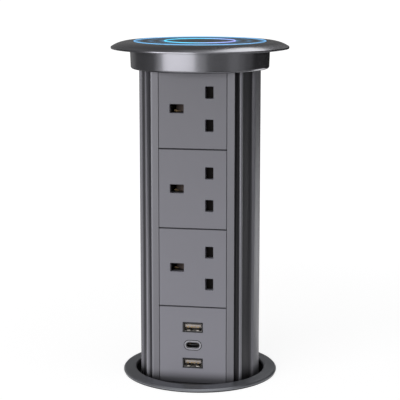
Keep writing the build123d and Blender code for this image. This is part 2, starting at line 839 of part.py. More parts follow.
# Base cap with the stop lugs, which meet the sleeve's keys when the column is fully up
gland_y = module_back_y + terminal_depth + gland_cable_radius + gland_setback
terminal_bottom_z = column_bottom_z + locknut_height + terminal_lift
lug_spread_angle = side_groove_end_angle - rib_end_angle - 2 * degrees(running_gap / groove_floor_radius)
lug_middle_angle = (rib_end_angle + side_groove_end_angle) / 2
with BuildPart() as base_cap:
    with BuildSketch(Plane.XY.offset(cap_bottom_z)):
        ColumnOutline()
        for side in sides:
            RingSector(groove_floor_radius, stop_lug_radius, side * lug_middle_angle, lug_spread_angle)
        with Locations((0, gland_y)):
            Circle(gland_thread_radius + fit_gap, mode=Mode.SUBTRACT)
        with Locations(port_places):
            Circle(small_screw_radius + fit_gap, mode=Mode.SUBTRACT)
    extrude(amount=cap_thickness)
save(base_cap, "base_cap")

# Terminal block, fixed to the back of the blank module above the cable's way in
terminal_middle_y = module_back_y + terminal_depth / 2
with BuildPart() as terminal_block:
    with BuildSketch(Plane.XY.offset(terminal_bottom_z)):
        with Locations((0, terminal_middle_y)):
            Rectangle(terminal_width, terminal_depth)
    extrude(amount=terminal_height)
    chamfer(terminal_block.faces().sort_by(Axis.Z)[-1].edges().filter_by(Axis.X), column_wall)
    with BuildSketch(Plane.XY.offset(terminal_bottom_z + terminal_height)):
        with Locations((0, terminal_middle_y)):
            with GridLocations(terminal_pitch, 0, 3, 1):
                Circle(terminal_wire_radius)
    extrude(amount=-terminal_wire_depth, mode=Mode.SUBTRACT)
save(terminal_block, "terminal_block")

# Cable gland through the base cap, with its nuts inside and out
gland_flange_bottom_z = cap_bottom_z - gland_flange_height
gland_bottom_z = gland_flange_bottom_z - gland_thread_length
gland_top_z = column_bottom_z + locknut_height + fit_gap


def gland_plane(z):
    """Level plane with its origin on the gland's axis."""
    return Plane.XY.offset(z).move(Location((0, gland_y, 0)))


with BuildPart() as cable_gland:
    with BuildSketch(gland_plane(gland_flange_bottom_z)):
        RegularPolygon(gland_hex_radius, 6)
    extrude(amount=gland_flange_height)
    with BuildSketch(gland_plane(gland_bottom_z)):
        Circle(gland_thread_radius)
    extrude(amount=gland_top_z - gland_bottom_z)
    with BuildSketch(gland_plane(gland_bottom_z)):
        Circle(gland_cable_radius)
    extrude(amount=gland_top_z - gland_bottom_z, mode=Mode.SUBTRACT)
save(cable_gland, "cable_gland")

with BuildPart() as gland_locknut:
    with BuildSketch(gland_plane(column_bottom_z)):
        RegularPolygon(gland_hex_radius, 6)
        Circle(gland_thread_radius + pad_gap, mode=Mode.SUBTRACT)
    extrude(amount=locknut_height)
save(gland_locknut, "gland_locknut")

gland_nut_top_z = gland_flange_bottom_z - gland_nut_gap
gland_nut_bottom_z = gland_nut_top_z - gland_nut_height
gland_dome_height = gland_nut_height / 3
with BuildPart() as gland_nut:
    with BuildSketch(gland_plane(gland_nut_bottom_z)):
        Circle(gland_dome_radius)
    with BuildSketch(gland_plane(gland_nut_bottom_z + gland_dome_height)):
        Circle(gland_hex_radius * cos(pi / 6))
    loft()
    with BuildSketch(gland_plane(gland_nut_bottom_z + gland_dome_height)):
        RegularPolygon(gland_hex_radius, 6)
    extrude(amount=gland_nut_height - gland_dome_height)
    with BuildSketch(gland_plane(gland_bottom_z - fit_gap)):
        Circle(gland_thread_radius + pad_gap)
    extrude(amount=gland_nut_top_z - gland_bottom_z + fit_gap, mode=Mode.SUBTRACT)
    with BuildSketch(gland_plane(gland_nut_bottom_z)):
        Circle(gland_cable_radius)
    extrude(amount=gland_nut_height, mode=Mode.SUBTRACT)
save(gland_nut, "gland_nut")

# Desk flange: a low ring that slopes gently outward from the bore, on a rubber gasket
with BuildPart() as desk_flange:
    with BuildSketch(Plane.XZ):
        with BuildLine():
            Polyline(
                (flange_bore_radius, flange_bottom_z),
                (flange_bore_radius, flange_top_z - flange_lip_width),
                (flange_bore_radius + flange_lip_width, flange_top_z),
                (flange_outer_radius - flange_edge_chamfer, flange_top_z - flange_slope_drop),
                (flange_outer_radius, flange_bottom_z + flange_edge_height),
                (flange_outer_radius, flange_bottom_z),
                close=True,
            )
        make_face()
    revolve(axis=Axis.Z)
save(desk_flange, "desk_flange")

gasket_outer_radius = flange_outer_radius - gasket_inset
with BuildPart() as flange_gasket:
    with BuildSketch():
        Circle(gasket_outer_radius)
        Circle(sleeve_outer_radius + gasket_bore_gap, mode=Mode.SUBTRACT)
    extrude(amount=gasket_thickness)
save(flange_gasket, "flange_gasket")

# Guide sleeve: hangs from the flange, keyed to the column's side grooves
key_tip_radius = groove_floor_radius + running_gap
key_bottom_z = column_bottom_z + stop_gap
seal_bottom_z = seal_top_z - seal_thickness
with BuildPart() as guide_sleeve:
    with BuildSketch(Plane.XY.offset(sleeve_bottom_z)):
        Circle(sleeve_outer_radius)
        Circle(flange_bore_radius, mode=Mode.SUBTRACT)
        with Locations((0, sleeve_outer_radius)):
            Rectangle(washer_slot_width, 2 * washer_slot_depth, mode=Mode.SUBTRACT)
    extrude(amount=flange_bottom_z - sleeve_bottom_z)
    with BuildSketch(Plane.XY.offset(key_bottom_z)):
        for side in sides:
            RingSector(
                key_tip_radius,
                flange_bore_radius + sleeve_wall / 2,
                side * lug_middle_angle,
                lug_spread_angle,
            )
    extrude(amount=seal_bottom_z - key_bottom_z)
save(guide_sleeve, "guide_sleeve")

# Dust seal on top of the keys, which closes the gap between the sleeve and the column
with BuildPart() as dust_seal:
    with BuildSketch(Plane.XY.offset(seal_bottom_z)):
        Circle(flange_bore_radius - pad_seat_gap)
        ColumnOutline(gap=running_gap, mode=Mode.SUBTRACT)
    extrude(amount=seal_thickness)
save(dust_seal, "dust_seal")

for pad_name, pad_angle in zip(("right", "rear", "left"), pad_angles):
    with BuildPart() as glide_pad:
        with BuildSketch(Plane.XY.offset(seal_bottom_z - pad_height)):
            RingSector(
                tower_radius + running_gap,
                flange_bore_radius - pad_seat_gap,
                pad_angle,
                pad_spread_angle,
            )
        extrude(amount=pad_height)
    save(glide_pad, f"glide_pad_{pad_name}")

# Clamp: a keyed washer with a rubber face, driven up by a ring nut on the sleeve's thread
washer_radius = sleeve_outer_radius + washer_width
washer_bottom_z = washer_top_z - washer_thickness
with BuildPart() as clamp_washer:
    with BuildSketch(Plane.XY.offset(washer_bottom_z)):
        Circle(washer_radius)
        Circle(sleeve_outer_radius + running_gap, mode=Mode.SUBTRACT)
        with Locations((0, sleeve_outer_radius - washer_slot_depth + running_gap)):
            Rectangle(
                washer_slot_width - 2 * running_gap,
                washer_slot_depth + sleeve_wall / 2,
                align=(Align.CENTER, Align.MIN),
            )
    extrude(amount=washer_thickness)
save(clamp_washer, "clamp_washer")

with BuildPart() as washer_pad:
    with BuildSketch(Plane.XY.offset(washer_top_z)):
        Circle(washer_radius - gasket_inset)
        Circle(washer_radius - gasket_inset - rubber_width, mode=Mode.SUBTRACT)
    extrude(amount=rubber_thickness)
save(washer_pad, "washer_pad")

nut_radius = sleeve_outer_radius + nut_width
nut_top_z = washer_bottom_z - running_gap
with BuildPart() as ring_nut:
    with BuildSketch(Plane.XY.offset(nut_top_z - nut_height)):
        Circle(nut_radius)
        Circle(sleeve_outer_radius + nut_thread_gap, mode=Mode.SUBTRACT)
    extrude(amount=nut_height)
    outer_edges = ring_nut.edges().filter_by(GeomType.CIRCLE).group_by(SortBy.RADIUS)[-1]
    chamfer(outer_edges, nut_chamfer)
    with BuildSketch(Plane.XY.offset(nut_top_z - nut_height)):
        with PolarLocations(nut_radius, nut_grip_count):
            Circle(nut_grip_radius)
    extrude(amount=nut_height, mode=Mode.SUBTRACT)
save(ring_nut, "ring_nut")
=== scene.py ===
# Looks of the pull-up desk socket: finishes, threads, ports, light rings and a plain studio
import bpy
import bmesh
import json
from math import atan2, cos, degrees, pi, radians, sin
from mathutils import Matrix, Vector


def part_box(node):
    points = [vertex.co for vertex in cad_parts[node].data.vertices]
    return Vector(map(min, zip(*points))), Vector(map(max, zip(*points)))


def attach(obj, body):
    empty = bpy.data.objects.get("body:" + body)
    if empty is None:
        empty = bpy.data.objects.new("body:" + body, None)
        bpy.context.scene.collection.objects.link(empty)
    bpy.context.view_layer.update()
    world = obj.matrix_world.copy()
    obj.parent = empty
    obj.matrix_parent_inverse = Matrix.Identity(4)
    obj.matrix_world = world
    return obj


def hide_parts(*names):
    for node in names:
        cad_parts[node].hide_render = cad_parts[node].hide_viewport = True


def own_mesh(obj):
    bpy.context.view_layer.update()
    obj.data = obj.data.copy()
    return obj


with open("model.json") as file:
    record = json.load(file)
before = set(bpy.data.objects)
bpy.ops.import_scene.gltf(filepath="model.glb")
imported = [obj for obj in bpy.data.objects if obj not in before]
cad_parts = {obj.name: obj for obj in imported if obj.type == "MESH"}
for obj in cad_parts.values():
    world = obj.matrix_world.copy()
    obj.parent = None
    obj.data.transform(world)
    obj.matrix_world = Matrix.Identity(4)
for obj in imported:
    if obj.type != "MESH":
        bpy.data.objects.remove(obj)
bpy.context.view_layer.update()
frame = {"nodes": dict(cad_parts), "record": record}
bpy.ops.object.select_all(action="DESELECT")
print("packed model loaded:", len(frame["nodes"]), "nodes")

mm = 0.001
fullTurn = 2 * pi


# small tools for shader nodes

def feed(tree, value, socket):
    # numbers and colours are set on the socket, anything else is another node's output
    if isinstance(value, (int, float)):
        socket.default_value = value
    elif isinstance(value, tuple):
        socket.default_value = (*value, 1) if socket.type == "RGBA" else value
    else:
        tree.links.new(value, socket)


def newGroup(name, output, inputs):
    # a group with one output; its inputs are colours where they start as a tuple
    group = bpy.data.node_groups.new(name, "ShaderNodeTree")
    for label, start in inputs.items():
        kind = "NodeSocketColor" if isinstance(start, tuple) else "NodeSocketFloat"
        group.interface.new_socket(name=label, in_out="INPUT", socket_type=kind).default_value = start
    kind = "NodeSocketColor" if output == "Colour" else "NodeSocketFloat"
    group.interface.new_socket(name=output, in_out="OUTPUT", socket_type=kind)
    return group, group.nodes.new("NodeGroupInput").outputs, group.nodes.new("NodeGroupOutput").inputs


def mathNode(tree, operation, *values):
    node = tree.nodes.new("ShaderNodeMath")
    node.operation = operation
    for value, socket in zip(values, node.inputs):
        feed(tree, value, socket)
    return node.outputs[0]


def plus(tree, first, second):
    return mathNode(tree, "ADD", first, second)


def minus(tree, first, second):
    return mathNode(tree, "SUBTRACT", first, second)


def times(tree, first, second):
    return mathNode(tree, "MULTIPLY", first, second)


def above(tree, value, edge):
    return mathNode(tree, "GREATER_THAN", value, edge)


def below(tree, value, edge):
    return mathNode(tree, "LESS_THAN", value, edge)


def mapRange(tree, value, fromLow, fromHigh, toLow, toHigh, smooth=False):
    node = tree.nodes.new("ShaderNodeMapRange")
    if smooth:
        node.interpolation_type = "SMOOTHSTEP"
    labels = ("Value", "From Min", "From Max", "To Min", "To Max")
    for label, limit in zip(labels, (value, fromLow, fromHigh, toLow, toHigh)):
        feed(tree, limit, node.inputs[label])
    return node.outputs["Result"]


def toneWhere(tree, mask, tone):
    # 1 where the mask is 0, and the tone where it is 1
    return mapRange(tree, mask, 0, 1, 1.0, tone)


def objectPlace(tree):
    return tree.nodes.new("ShaderNodeTexCoord").outputs["Object"]


def splitPlace(tree):
    node = tree.nodes.new("ShaderNodeSeparateXYZ")
    tree.links.new(objectPlace(tree), node.inputs[0])
    return node.outputs


def joinPlace(tree, *values):
    node = tree.nodes.new("ShaderNodeCombineXYZ")
    for value, socket in zip(values, node.inputs):
        tree.links.new(value, socket)
    return node.outputs[0]


def streakPlace(tree, share):
    # squeezed along Z, so that a pattern is drawn out there
    node = tree.nodes.new("ShaderNodeMapping")
    node.inputs["Scale"].default_value = (1, 1, share)
    tree.links.new(objectPlace(tree), node.inputs["Vector"])
    return node.outputs[0]


def noiseValue(tree, place, scale, detail=2.0, roughness=0.5):
    node = tree.nodes.new("ShaderNodeTexNoise")
    for label, value in (("Vector", place), ("Scale", scale), ("Detail", detail), ("Roughness", roughness)):
        feed(tree, value, node.inputs[label])
    return node.outputs["Fac"]


def axisRadius(tree, x, y):
    return mathNode(tree, "SQRT", plus(tree, times(tree, x, x), times(tree, y, y)))


def scaleColour(tree, colour, factor):
    node = tree.nodes.new("ShaderNodeVectorMath")
    node.operation = "SCALE"
    feed(tree, colour, node.inputs[0])
    feed(tree, factor, node.inputs["Scale"])
    return node.outputs[0]


# shared effects, one group each

streakLook = {
    "fineStretch": 0.012, "fineShare": 0.7, "coarseStretch": 0.02, "coarseFineness": 900.0, "coarseShare": 0.3,
}


def makeDrawnGrain():
    # straight streaks along Z, as a drawn and brushed extrusion has
    look = streakLook
    group, given, result = newGroup("drawnGrain", "Streaks", {"Fineness": 5200.0})
    fine = noiseValue(group, streakPlace(group, look["fineStretch"]), given["Fineness"], roughness=0.6)
    coarse = noiseValue(group, streakPlace(group, look["coarseStretch"]), look["coarseFineness"], detail=1.0)
    both = plus(group, times(group, fine, look["fineShare"]), times(group, coarse, look["coarseShare"]))
    group.links.new(both, result["Streaks"])
    return group


def makeTurnedGrain():
    # rings round the column's axis, as turning and ring brushing leave them
    group, given, result = newGroup("turnedGrain", "Rings", {"Fineness": 4200.0, "Break": 3.0})
    x, y, z = splitPlace(group)
    radius = axisRadius(group, x, y)
    spread = [times(group, mathNode(group, "DIVIDE", side, radius), given["Break"]) for side in (x, y)]
    depth = times(group, plus(group, radius, z), given["Fineness"])
    group.links.new(noiseValue(group, joinPlace(group, *spread, depth), 1.0, roughness=0.55), result["Rings"])
    return group


def makeMouldGrain():
    # fine spark-eroded texture of a moulding
    group, given, result = newGroup("mouldGrain", "Grain", {"Fineness": 2600.0})
    grain = noiseValue(group, objectPlace(group), given["Fineness"], detail=3.0, roughness=0.7)
    group.links.new(grain, result["Grain"])
    return group


def makeToneDrift():
    # a colour drifts slowly over a surface, and quickly with its grain
    group, given, result = newGroup("toneDrift", "Colour", {
        "Colour": (0.5, 0.5, 0.5, 1), "Amount": 0.06, "Fineness": 45.0, "Detail mask": 0.5, "Detail amount": 0.0,
    })
    level = 1.0
    drift = noiseValue(group, objectPlace(group), given["Fineness"])
    for mask, amount in ((drift, given["Amount"]), (given["Detail mask"], given["Detail amount"])):
        level = plus(group, level, times(group, minus(group, mask, 0.5), times(group, amount, 2.0)))
    group.links.new(scaleColour(group, given["Colour"], level), result["Colour"])
    return group


def makeHeightShade():
    # painted shade: the foot, which never clears the flange's bore, is painted dark, and a painted gradient darkens
    # the surface towards the head and lightens it towards the foot
    group, given, result = newGroup("heightShade", "Colour", {
        "Colour": (0.5, 0.5, 0.5, 1), "Dark below": 0.002, "Clear above": 0.012, "Darkest": 0.1,
        "Foot tone": 1.1, "Head tone": 0.9, "Head height": 0.2,
    })
    height = splitPlace(group)[2]
    foot = mapRange(group, height, given["Dark below"], given["Clear above"], given["Darkest"], 1.0, smooth=True)
    rise = mapRange(group, height, 0.0, given["Head height"], given["Foot tone"], given["Head tone"])
    group.links.new(scaleColour(group, given["Colour"], times(group, foot, rise)), result["Colour"])
    return group


effects = {
    "drawn": makeDrawnGrain(),
    "turned": makeTurnedGrain(),
    "mould": makeMouldGrain(),
    "drift": makeToneDrift(),
    "height": makeHeightShade(),
}
print("shader groups ready:", len(effects))


# materials: lengths in millimetres, angles in degrees; "break" tells how broken up a turned ring is

def placeGroup(tree, effect, **values):
    node = tree.nodes.new("ShaderNodeGroup")
    node.node_tree = effects[effect]
    for label, value in values.items():
        feed(tree, value, node.inputs[label.replace("_", " ")])
    return node.outputs[0]


def newMaterial(name, **values):
    material = bpy.data.materials.new(name)
    material.use_nodes = True
    tree = material.node_tree
    inputs = tree.nodes["Principled BSDF"].inputs
    for label, value in values.items():
        feed(tree, value, inputs[label.replace("_", " ")])
    return material, tree, inputs


grainLimits = (0.3, 0.7)  # where the grain's noise mostly lies


def surface(name, look, paintedShading=None):
    # one mask of the surface's grain drives its colour, roughness and relief
    low, high = look["roughness"]
    material, tree, inputs = newMaterial(name, Base_Color=look["colour"], Metallic=look.get("metallic", 0.0),
                                         Roughness=low, Specular_IOR_Level=look.get("specular", 0.5))
    rings = {"Break": look["break"]} if "break" in look else {}
    mask = placeGroup(tree, look.get("grain", "mould"), Fineness=look["fineness"], **rings)
    colour = placeGroup(tree, "drift", Colour=look["colour"], Amount=look["drift"], Detail_mask=mask,
                        Fineness=look.get("driftFineness", 40.0), Detail_amount=look.get("grainTone", 0.0))
    # painted shade at the foot and a painted gradient from foot to head
    if "footTone" in look:
        colour = placeGroup(tree, "height", Colour=colour, Dark_below=look["darkBelow"] * mm,
                            Clear_above=look["clearAbove"] * mm, Darkest=look["darkest"],
                            Foot_tone=look["footTone"], Head_tone=look["headTone"])
    # painted shade and highlights that the material's own tone maker adds
    if paintedShading:
        colour = scaleColour(tree, colour, paintedShading(tree, look))
    tree.links.new(colour, inputs["Base Color"])
    tree.links.new(mapRange(tree, mask, *grainLimits, low, high), inputs["Roughness"])
    bump = tree.nodes.new("ShaderNodeBump")
    bump.inputs["Strength"].default_value = look["relief"]
    bump.inputs["Distance"].default_value = look["reliefDepth"] * mm
    tree.links.new(mask, bump.inputs["Height"])
    tree.links.new(bump.outputs["Normal"], inputs["Normal"])
    return material, tree, inputs


columnMetalLook = {
    "colour": (0.128, 0.128, 0.141), "metallic": 0.32, "roughness": (0.4, 0.54), "specular": 0.3,
    "relief": 0.2, "reliefDepth": 0.05, "grainTone": 0.12, "drift": 0.03, "grain": "drawn", "fineness": 5200.0,
    # painted shade at the foot and a painted gradient towards the head
    "darkBelow": 0.5, "clearAbove": 8.5, "darkest": 0.3, "footTone": 1.26, "headTone": 0.86,
    # painted shade in the grooves and slots, painted highlights on the ribs and round walls
    "grooveRadius": 39.7, "wallRadius": 41.3, "paintedGrooveShading": 0.4, "flatY": -29.3,
    "ribHighlight": 1.75, "ribRadius": 41.4, "ribAngles": (50.0, 53.5),
    "slotAngle": 51.0, "slotRadius": 40.9, "slotShades": (1.9, 0.5), "roundAngle": 71.4, "roundWallHighlight": 1.24,
}


def paintedGrooveShading(tree, look):
    # painted shade and highlights: the grooves are painted darker, the edge slot left of the front lighter and the one
    # right of it darker, and the thin ribs beside the slots and the round side walls brighter; the flat front is left
    # as it is
    x, y, _ = splitPlace(tree)
    radius = axisRadius(tree, x, y)
    angle = mathNode(tree, "ARCTAN2", mathNode(tree, "ABSOLUTE", x), times(tree, y, -1.0))
    low, high = (radians(edge) for edge in look["ribAngles"])
    rib = times(tree, times(tree, above(tree, angle, low), below(tree, angle, high)),
                above(tree, radius, look["ribRadius"] * mm))
    slot = times(tree, below(tree, angle, radians(look["slotAngle"])), below(tree, radius, look["slotRadius"] * mm))
    slotShade = mapRange(tree, above(tree, x, 0.0), 0, 1, *look["slotShades"])
    wall = mapRange(tree, radius, look["grooveRadius"] * mm, look["wallRadius"] * mm, look["paintedGrooveShading"], 1.0)
    paintedShade = times(tree, wall, toneWhere(tree, slot, slotShade))
    paintedHighlights = times(tree, toneWhere(tree, rib, look["ribHighlight"]),
                   toneWhere(tree, above(tree, angle, radians(look["roundAngle"])), look["roundWallHighlight"]))
    return times(tree, mathNode(tree, "MAXIMUM", paintedShade, below(tree, y, look["flatY"] * mm)), paintedHighlights)


facePlasticLook = {
    "colour": (0.175, 0.175, 0.198), "roughness": (0.42, 0.52), "relief": 0.16, "reliefDepth": 0.04, "grainTone": 0.05,
    "drift": 0.04, "driftFineness": 28.0, "fineness": 2400.0, "specular": 0.35,
    # painted shade at the foot and a painted gradient towards the head
    "darkBelow": 0.5, "clearAbove": 8.5, "darkest": 0.25, "footTone": 1.26, "headTone": 0.69,
    # painted shade beside the seams
    "seamZ": -1.5, "seamPitch": 54.4, "seamHalf": 0.15, "faceHalf": 23.35, "seamEdge": 0.22, "paintedSeamShade": 0.3,
}


def paintedSeamShade(tree, look):
    # painted shade: the rounded edges beside the seams are painted darker, as they take little light
    x, _, z = splitPlace(tree)
    height = mathNode(tree, "PINGPONG", minus(tree, z, look["seamZ"] * mm), look["seamPitch"] / 2 * mm)
    fromSeam = minus(tree, height, look["seamHalf"] * mm)
    fromSide = minus(tree, look["faceHalf"] * mm, mathNode(tree, "ABSOLUTE", x))
    edge = look["seamEdge"] * mm
    return mapRange(tree, mathNode(tree, "MINIMUM", fromSeam, fromSide), edge, 2 * edge, look["paintedSeamShade"], 1.0)


shutterPlasticLook = {
    "colour": (0.066, 0.053, 0.047), "roughness": (0.55, 0.65), "relief": 0.2, "reliefDepth": 0.04, "grainTone": 0.06,
    "drift": 0.06, "fineness": 2600.0, "specular": 0.05,
    # painted shade on the blades, away from the earth ramp
    "rampX": -10.8, "rampHalf": 5.5, "rampFade": 1.5, "bladeShade": 0.08,
}


def paintedShutterShade(tree, look):
    # painted shade: away from the earth ramp the shutter is painted near black, on the blades, and round the ramp it
    # keeps its own colour
    away = mathNode(tree, "ABSOLUTE", minus(tree, splitPlace(tree)[0], look["rampX"] * mm))
    end = look["rampHalf"] + look["rampFade"]
    return mapRange(tree, away, look["rampHalf"] * mm, end * mm, 1.0, look["bladeShade"])


padPlasticLook = {
    "colour": (0.04, 0.042, 0.05), "roughness": (0.24, 0.32), "relief": 0.05, "reliefDepth": 0.02, "drift": 0.03,
    # the rings' light, painted onto the pad
    "fineness": 2400.0, "specular": 0.25, "glow": (0.12, 0.42, 0.78), "glowStrength": 0.6,
    "rings": ((44.75, 6.0, 0.7), (24.05, 6.0, 0.75), (34.0, 3.0, 0.4)),  # radius, reach and strength
    "centreEdge": (22.05, 24.05), "centreGlow": 0.1,
}


def padPlastic(name, look):
    # painted light: the rings' glow is painted onto the pad, falling off on both sides of each ring, with a faint
    # painted ring between them, and hardly reaching the centre
    material, tree, inputs = surface(name, look)
    x, y, _ = splitPlace(tree)
    radius = axisRadius(tree, x, y)
    glow = 0.0
    for ring, reach, strength in look["rings"]:
        away = mathNode(tree, "ABSOLUTE", minus(tree, radius, ring * mm))
        glow = plus(tree, glow, mapRange(tree, away, 0.0, reach * mm, strength, 0.0, smooth=True))
    low, high = (edge * mm for edge in look["centreEdge"])
    glow = times(tree, glow, mapRange(tree, radius, low, high, look["centreGlow"], 1.0))
    tree.links.new(scaleColour(tree, look["glow"], glow), inputs["Emission Color"])
    inputs["Emission Strength"].default_value = look["glowStrength"]
    return material


lightGuideLook = {
    "colour": (0.2, 0.5, 0.75), "roughness": (0.25, 0.35), "relief": 0.03, "reliefDepth": 0.02, "drift": 0.02,
    "fineness": 1800.0,
}
outerLightLook = {
    **lightGuideLook, "half": 45.0, "strength": 0.72,
    "stops": [(0.0, (0.10, 0.36, 0.72)), (0.5, (0.13, 0.42, 0.8)), (1.0, (0.12, 0.38, 0.78))],
}
innerLightLook = {
    **lightGuideLook, "half": 24.5, "strength": 1.1,
    "stops": [(0.0, (0.02, 0.6, 0.85)), (0.45, (0.05, 0.6, 0.85)), (0.7, (0.3, 0.38, 0.85)), (1.0, (0.42, 0.3, 0.85))],
}


def lightGuide(name, look):
    # the colour of the light runs from the left of the ring to its right
    material, tree, inputs = surface(name, look)
    ramp = tree.nodes.new("ShaderNodeValToRGB")
    while len(ramp.color_ramp.elements) < len(look["stops"]):
        ramp.color_ramp.elements.new(0.5)
    for element, (place, colour) in zip(ramp.color_ramp.elements, look["stops"]):
        element.position = place
        element.color = (*colour, 1)
    half = look["half"] * mm
    tree.links.new(mapRange(tree, splitPlace(tree)[0], -half, half, 0.0, 1.0), ramp.inputs[0])
    tree.links.new(ramp.outputs["Color"], inputs["Emission Color"])
    inputs["Emission Strength"].default_value = look["strength"]
    return material


plainLooks = {
    "head_metal": {
        "colour": (0.135, 0.135, 0.147), "metallic": 0.88, "roughness": (0.2, 0.25), "relief": 0.03,
        "reliefDepth": 0.02, "grainTone": 0.05, "drift": 0.02, "grain": "turned", "fineness": 3600.0, "break": 2.0,
    },
    "flange_metal": {
        "colour": (0.172, 0.177, 0.192), "metallic": 0.75, "roughness": (0.3, 0.42), "relief": 0.15,
        "reliefDepth": 0.04, "grainTone": 0.12, "drift": 0.03, "grain": "turned", "fineness": 3000.0, "break": 5.0,
    },
    "coil_copper": {
        "colour": (0.66, 0.27, 0.12), "metallic": 1.0, "roughness": (0.24, 0.34), "relief": 0.2,
        "reliefDepth": 0.05, "grainTone": 0.08, "drift": 0.04, "grain": "turned", "fineness": 4800.0, "break": 1.0,
    },
    "housing_plastic": {
        "colour": (0.014, 0.014, 0.016), "roughness": (0.45, 0.6), "specular": 0.25, "relief": 0.3,
        "reliefDepth": 0.06, "grainTone": 0.1, "drift": 0.08, "fineness": 2200.0,
    },
    "board_laminate": {
        "colour": (0.012, 0.1, 0.045), "roughness": (0.25, 0.4), "relief": 0.15, "reliefDepth": 0.03,
        "grainTone": 0.12, "drift": 0.12, "driftFineness": 260.0, "fineness": 1400.0,
    },
    "ferrite": {
        "colour": (0.04, 0.04, 0.043), "roughness": (0.5, 0.65), "relief": 0.25, "reliefDepth": 0.05,
        "grainTone": 0.15, "drift": 0.06, "fineness": 3600.0,
    },
    "contact_brass": {
        "colour": (0.23, 0.163, 0.09), "metallic": 1.0, "roughness": (0.36, 0.5), "relief": 0.12,
        "reliefDepth": 0.03, "grainTone": 0.06, "drift": 0.06, "fineness": 1600.0,
    },
    "port_steel": {
        "colour": (0.4, 0.385, 0.36), "metallic": 1.0, "roughness": (0.3, 0.42), "relief": 0.08,
        "reliefDepth": 0.02, "grainTone": 0.05, "drift": 0.04, "fineness": 1500.0,
    },
    "dark_steel": {
        "colour": (0.1, 0.1, 0.105), "metallic": 1.0, "roughness": (0.35, 0.48), "relief": 0.08,
        "reliefDepth": 0.02, "grainTone": 0.05, "drift": 0.04, "fineness": 1500.0,
    },
    "screw_steel": {
        "colour": (0.56, 0.56, 0.57), "metallic": 1.0, "roughness": (0.22, 0.34), "relief": 0.1,
        "reliefDepth": 0.02, "grainTone": 0.06, "drift": 0.05, "fineness": 2000.0,
    },
    "zinc_steel": {
        "colour": (0.5, 0.51, 0.53), "metallic": 1.0, "roughness": (0.3, 0.46), "relief": 0.12,
        "reliefDepth": 0.03, "grainTone": 0.12, "drift": 0.12, "driftFineness": 130.0, "fineness": 700.0,
    },
    "bezel_plastic": {
        "colour": (0.3, 0.3, 0.33), "roughness": (0.38, 0.48), "relief": 0.1, "reliefDepth": 0.03,
        "drift": 0.03, "fineness": 2600.0,
    },
    "tongue_plastic": {
        "colour": (0.3, 0.27, 0.245), "roughness": (0.42, 0.52), "relief": 0.1, "reliefDepth": 0.02,
        "drift": 0.05, "fineness": 2600.0,
    },
    "black_rubber": {
        "colour": (0.012, 0.012, 0.013), "roughness": (0.6, 0.75), "specular": 0.3, "relief": 0.3,
        "reliefDepth": 0.05, "drift": 0.1, "fineness": 1800.0,
    },
    "glide_nylon": {
        "colour": (0.55, 0.54, 0.5), "roughness": (0.4, 0.5), "relief": 0.1, "reliefDepth": 0.03,
        "drift": 0.03, "fineness": 2000.0,
    },
}


def camelName(words):
    first, *others = words.split("_")
    return first + "".join(word.capitalize() for word in others)


# by the record's slot names; the tongues, the small port's shell and the inner ring have looks of their own
finishes = {slot: surface(camelName(slot), look)[0] for slot, look in plainLooks.items()}
finishes["column_metal"] = surface("columnMetal", columnMetalLook, paintedGrooveShading)[0]
finishes["face_plastic"] = surface("facePlastic", facePlasticLook, paintedSeamShade)[0]
finishes["shutter_plastic"] = surface("shutterPlastic", shutterPlasticLook, paintedShutterShade)[0]
finishes["pad_plastic"] = padPlastic("padPlastic", padPlasticLook)
finishes["light_guide"] = lightGuide("lightGuideOuter", outerLightLook)
finishes["inner_light"] = lightGuide("lightGuideInner", innerLightLook)

slotOf = {part["node"]: part["material_slot"] for part in frame["record"]["subparts"]}
for name, node in frame["nodes"].items():
    node.data.materials.clear()
    node.data.materials.append(finishes[slotOf[name]])
frame["nodes"]["light_ring_inner"].data.materials[0] = finishes["inner_light"]
print("finishes on the packed nodes:", len(slotOf))


# modelling helpers

weldFine, weld, weldCoarse = mm / 500, mm / 200, mm / 100
facing = 0.9  # a face looks a way when more than this share of its normal does
softAngle, shellAngle = 32, 40  # edges bent more than this stay sharp


def activePiece():
    return bpy.context.view_layer.objects.active


def pick(*pieces):
    # selects these alone, and makes the first one active
    bpy.ops.object.select_all(action="DESELECT")
    for piece in pieces:
        piece.select_set(True)
    bpy.context.view_layer.objects.active = pieces[0]


def settle(piece, name, slotName, *replaced, body="tower", finish=None):
    # place and turn go into the mesh, then the piece joins its body
    pick(piece)
    bpy.ops.object.transform_apply(location=True, rotation=True, scale=True)
    piece.name = name
    piece.data.name = name
    piece.data.materials.clear()
    piece.data.materials.append(finishes[finish or slotName])
    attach(piece, body)
    if replaced:
        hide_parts(*replaced)
    piece.select_set(False)


def editMesh():
    bpy.ops.object.mode_set(mode="EDIT")


def leaveMesh():
    bpy.ops.object.mode_set(mode="OBJECT")


def selectAll():
    bpy.ops.mesh.select_all(action="SELECT")


def closeMesh(mergeWithin=0.0):
    # merges what touches, turns the normals outwards and leaves edit mode
    selectAll()
    if mergeWithin:
        bpy.ops.mesh.remove_doubles(threshold=mergeWithin)
    bpy.ops.mesh.normals_make_consistent(inside=False)
    leaveMesh()


def smoothBelow(angle):
    bpy.ops.object.shade_smooth_by_angle(angle=radians(angle))


def pushOut(step):
    bpy.ops.mesh.extrude_region_move(TRANSFORM_OT_translate={"value": step})


def drawTo(step):
    bpy.ops.mesh.extrude_vertices_move(TRANSFORM_OT_translate={"value": step})


def sweep(steps, angle, height=0.0):
    # round the tower's axis; seen from above, a positive angle turns clockwise
    selectAll()
    bpy.ops.mesh.spin(steps=steps, angle=angle, center=(0, 0, height), axis=(0, 0, 1))


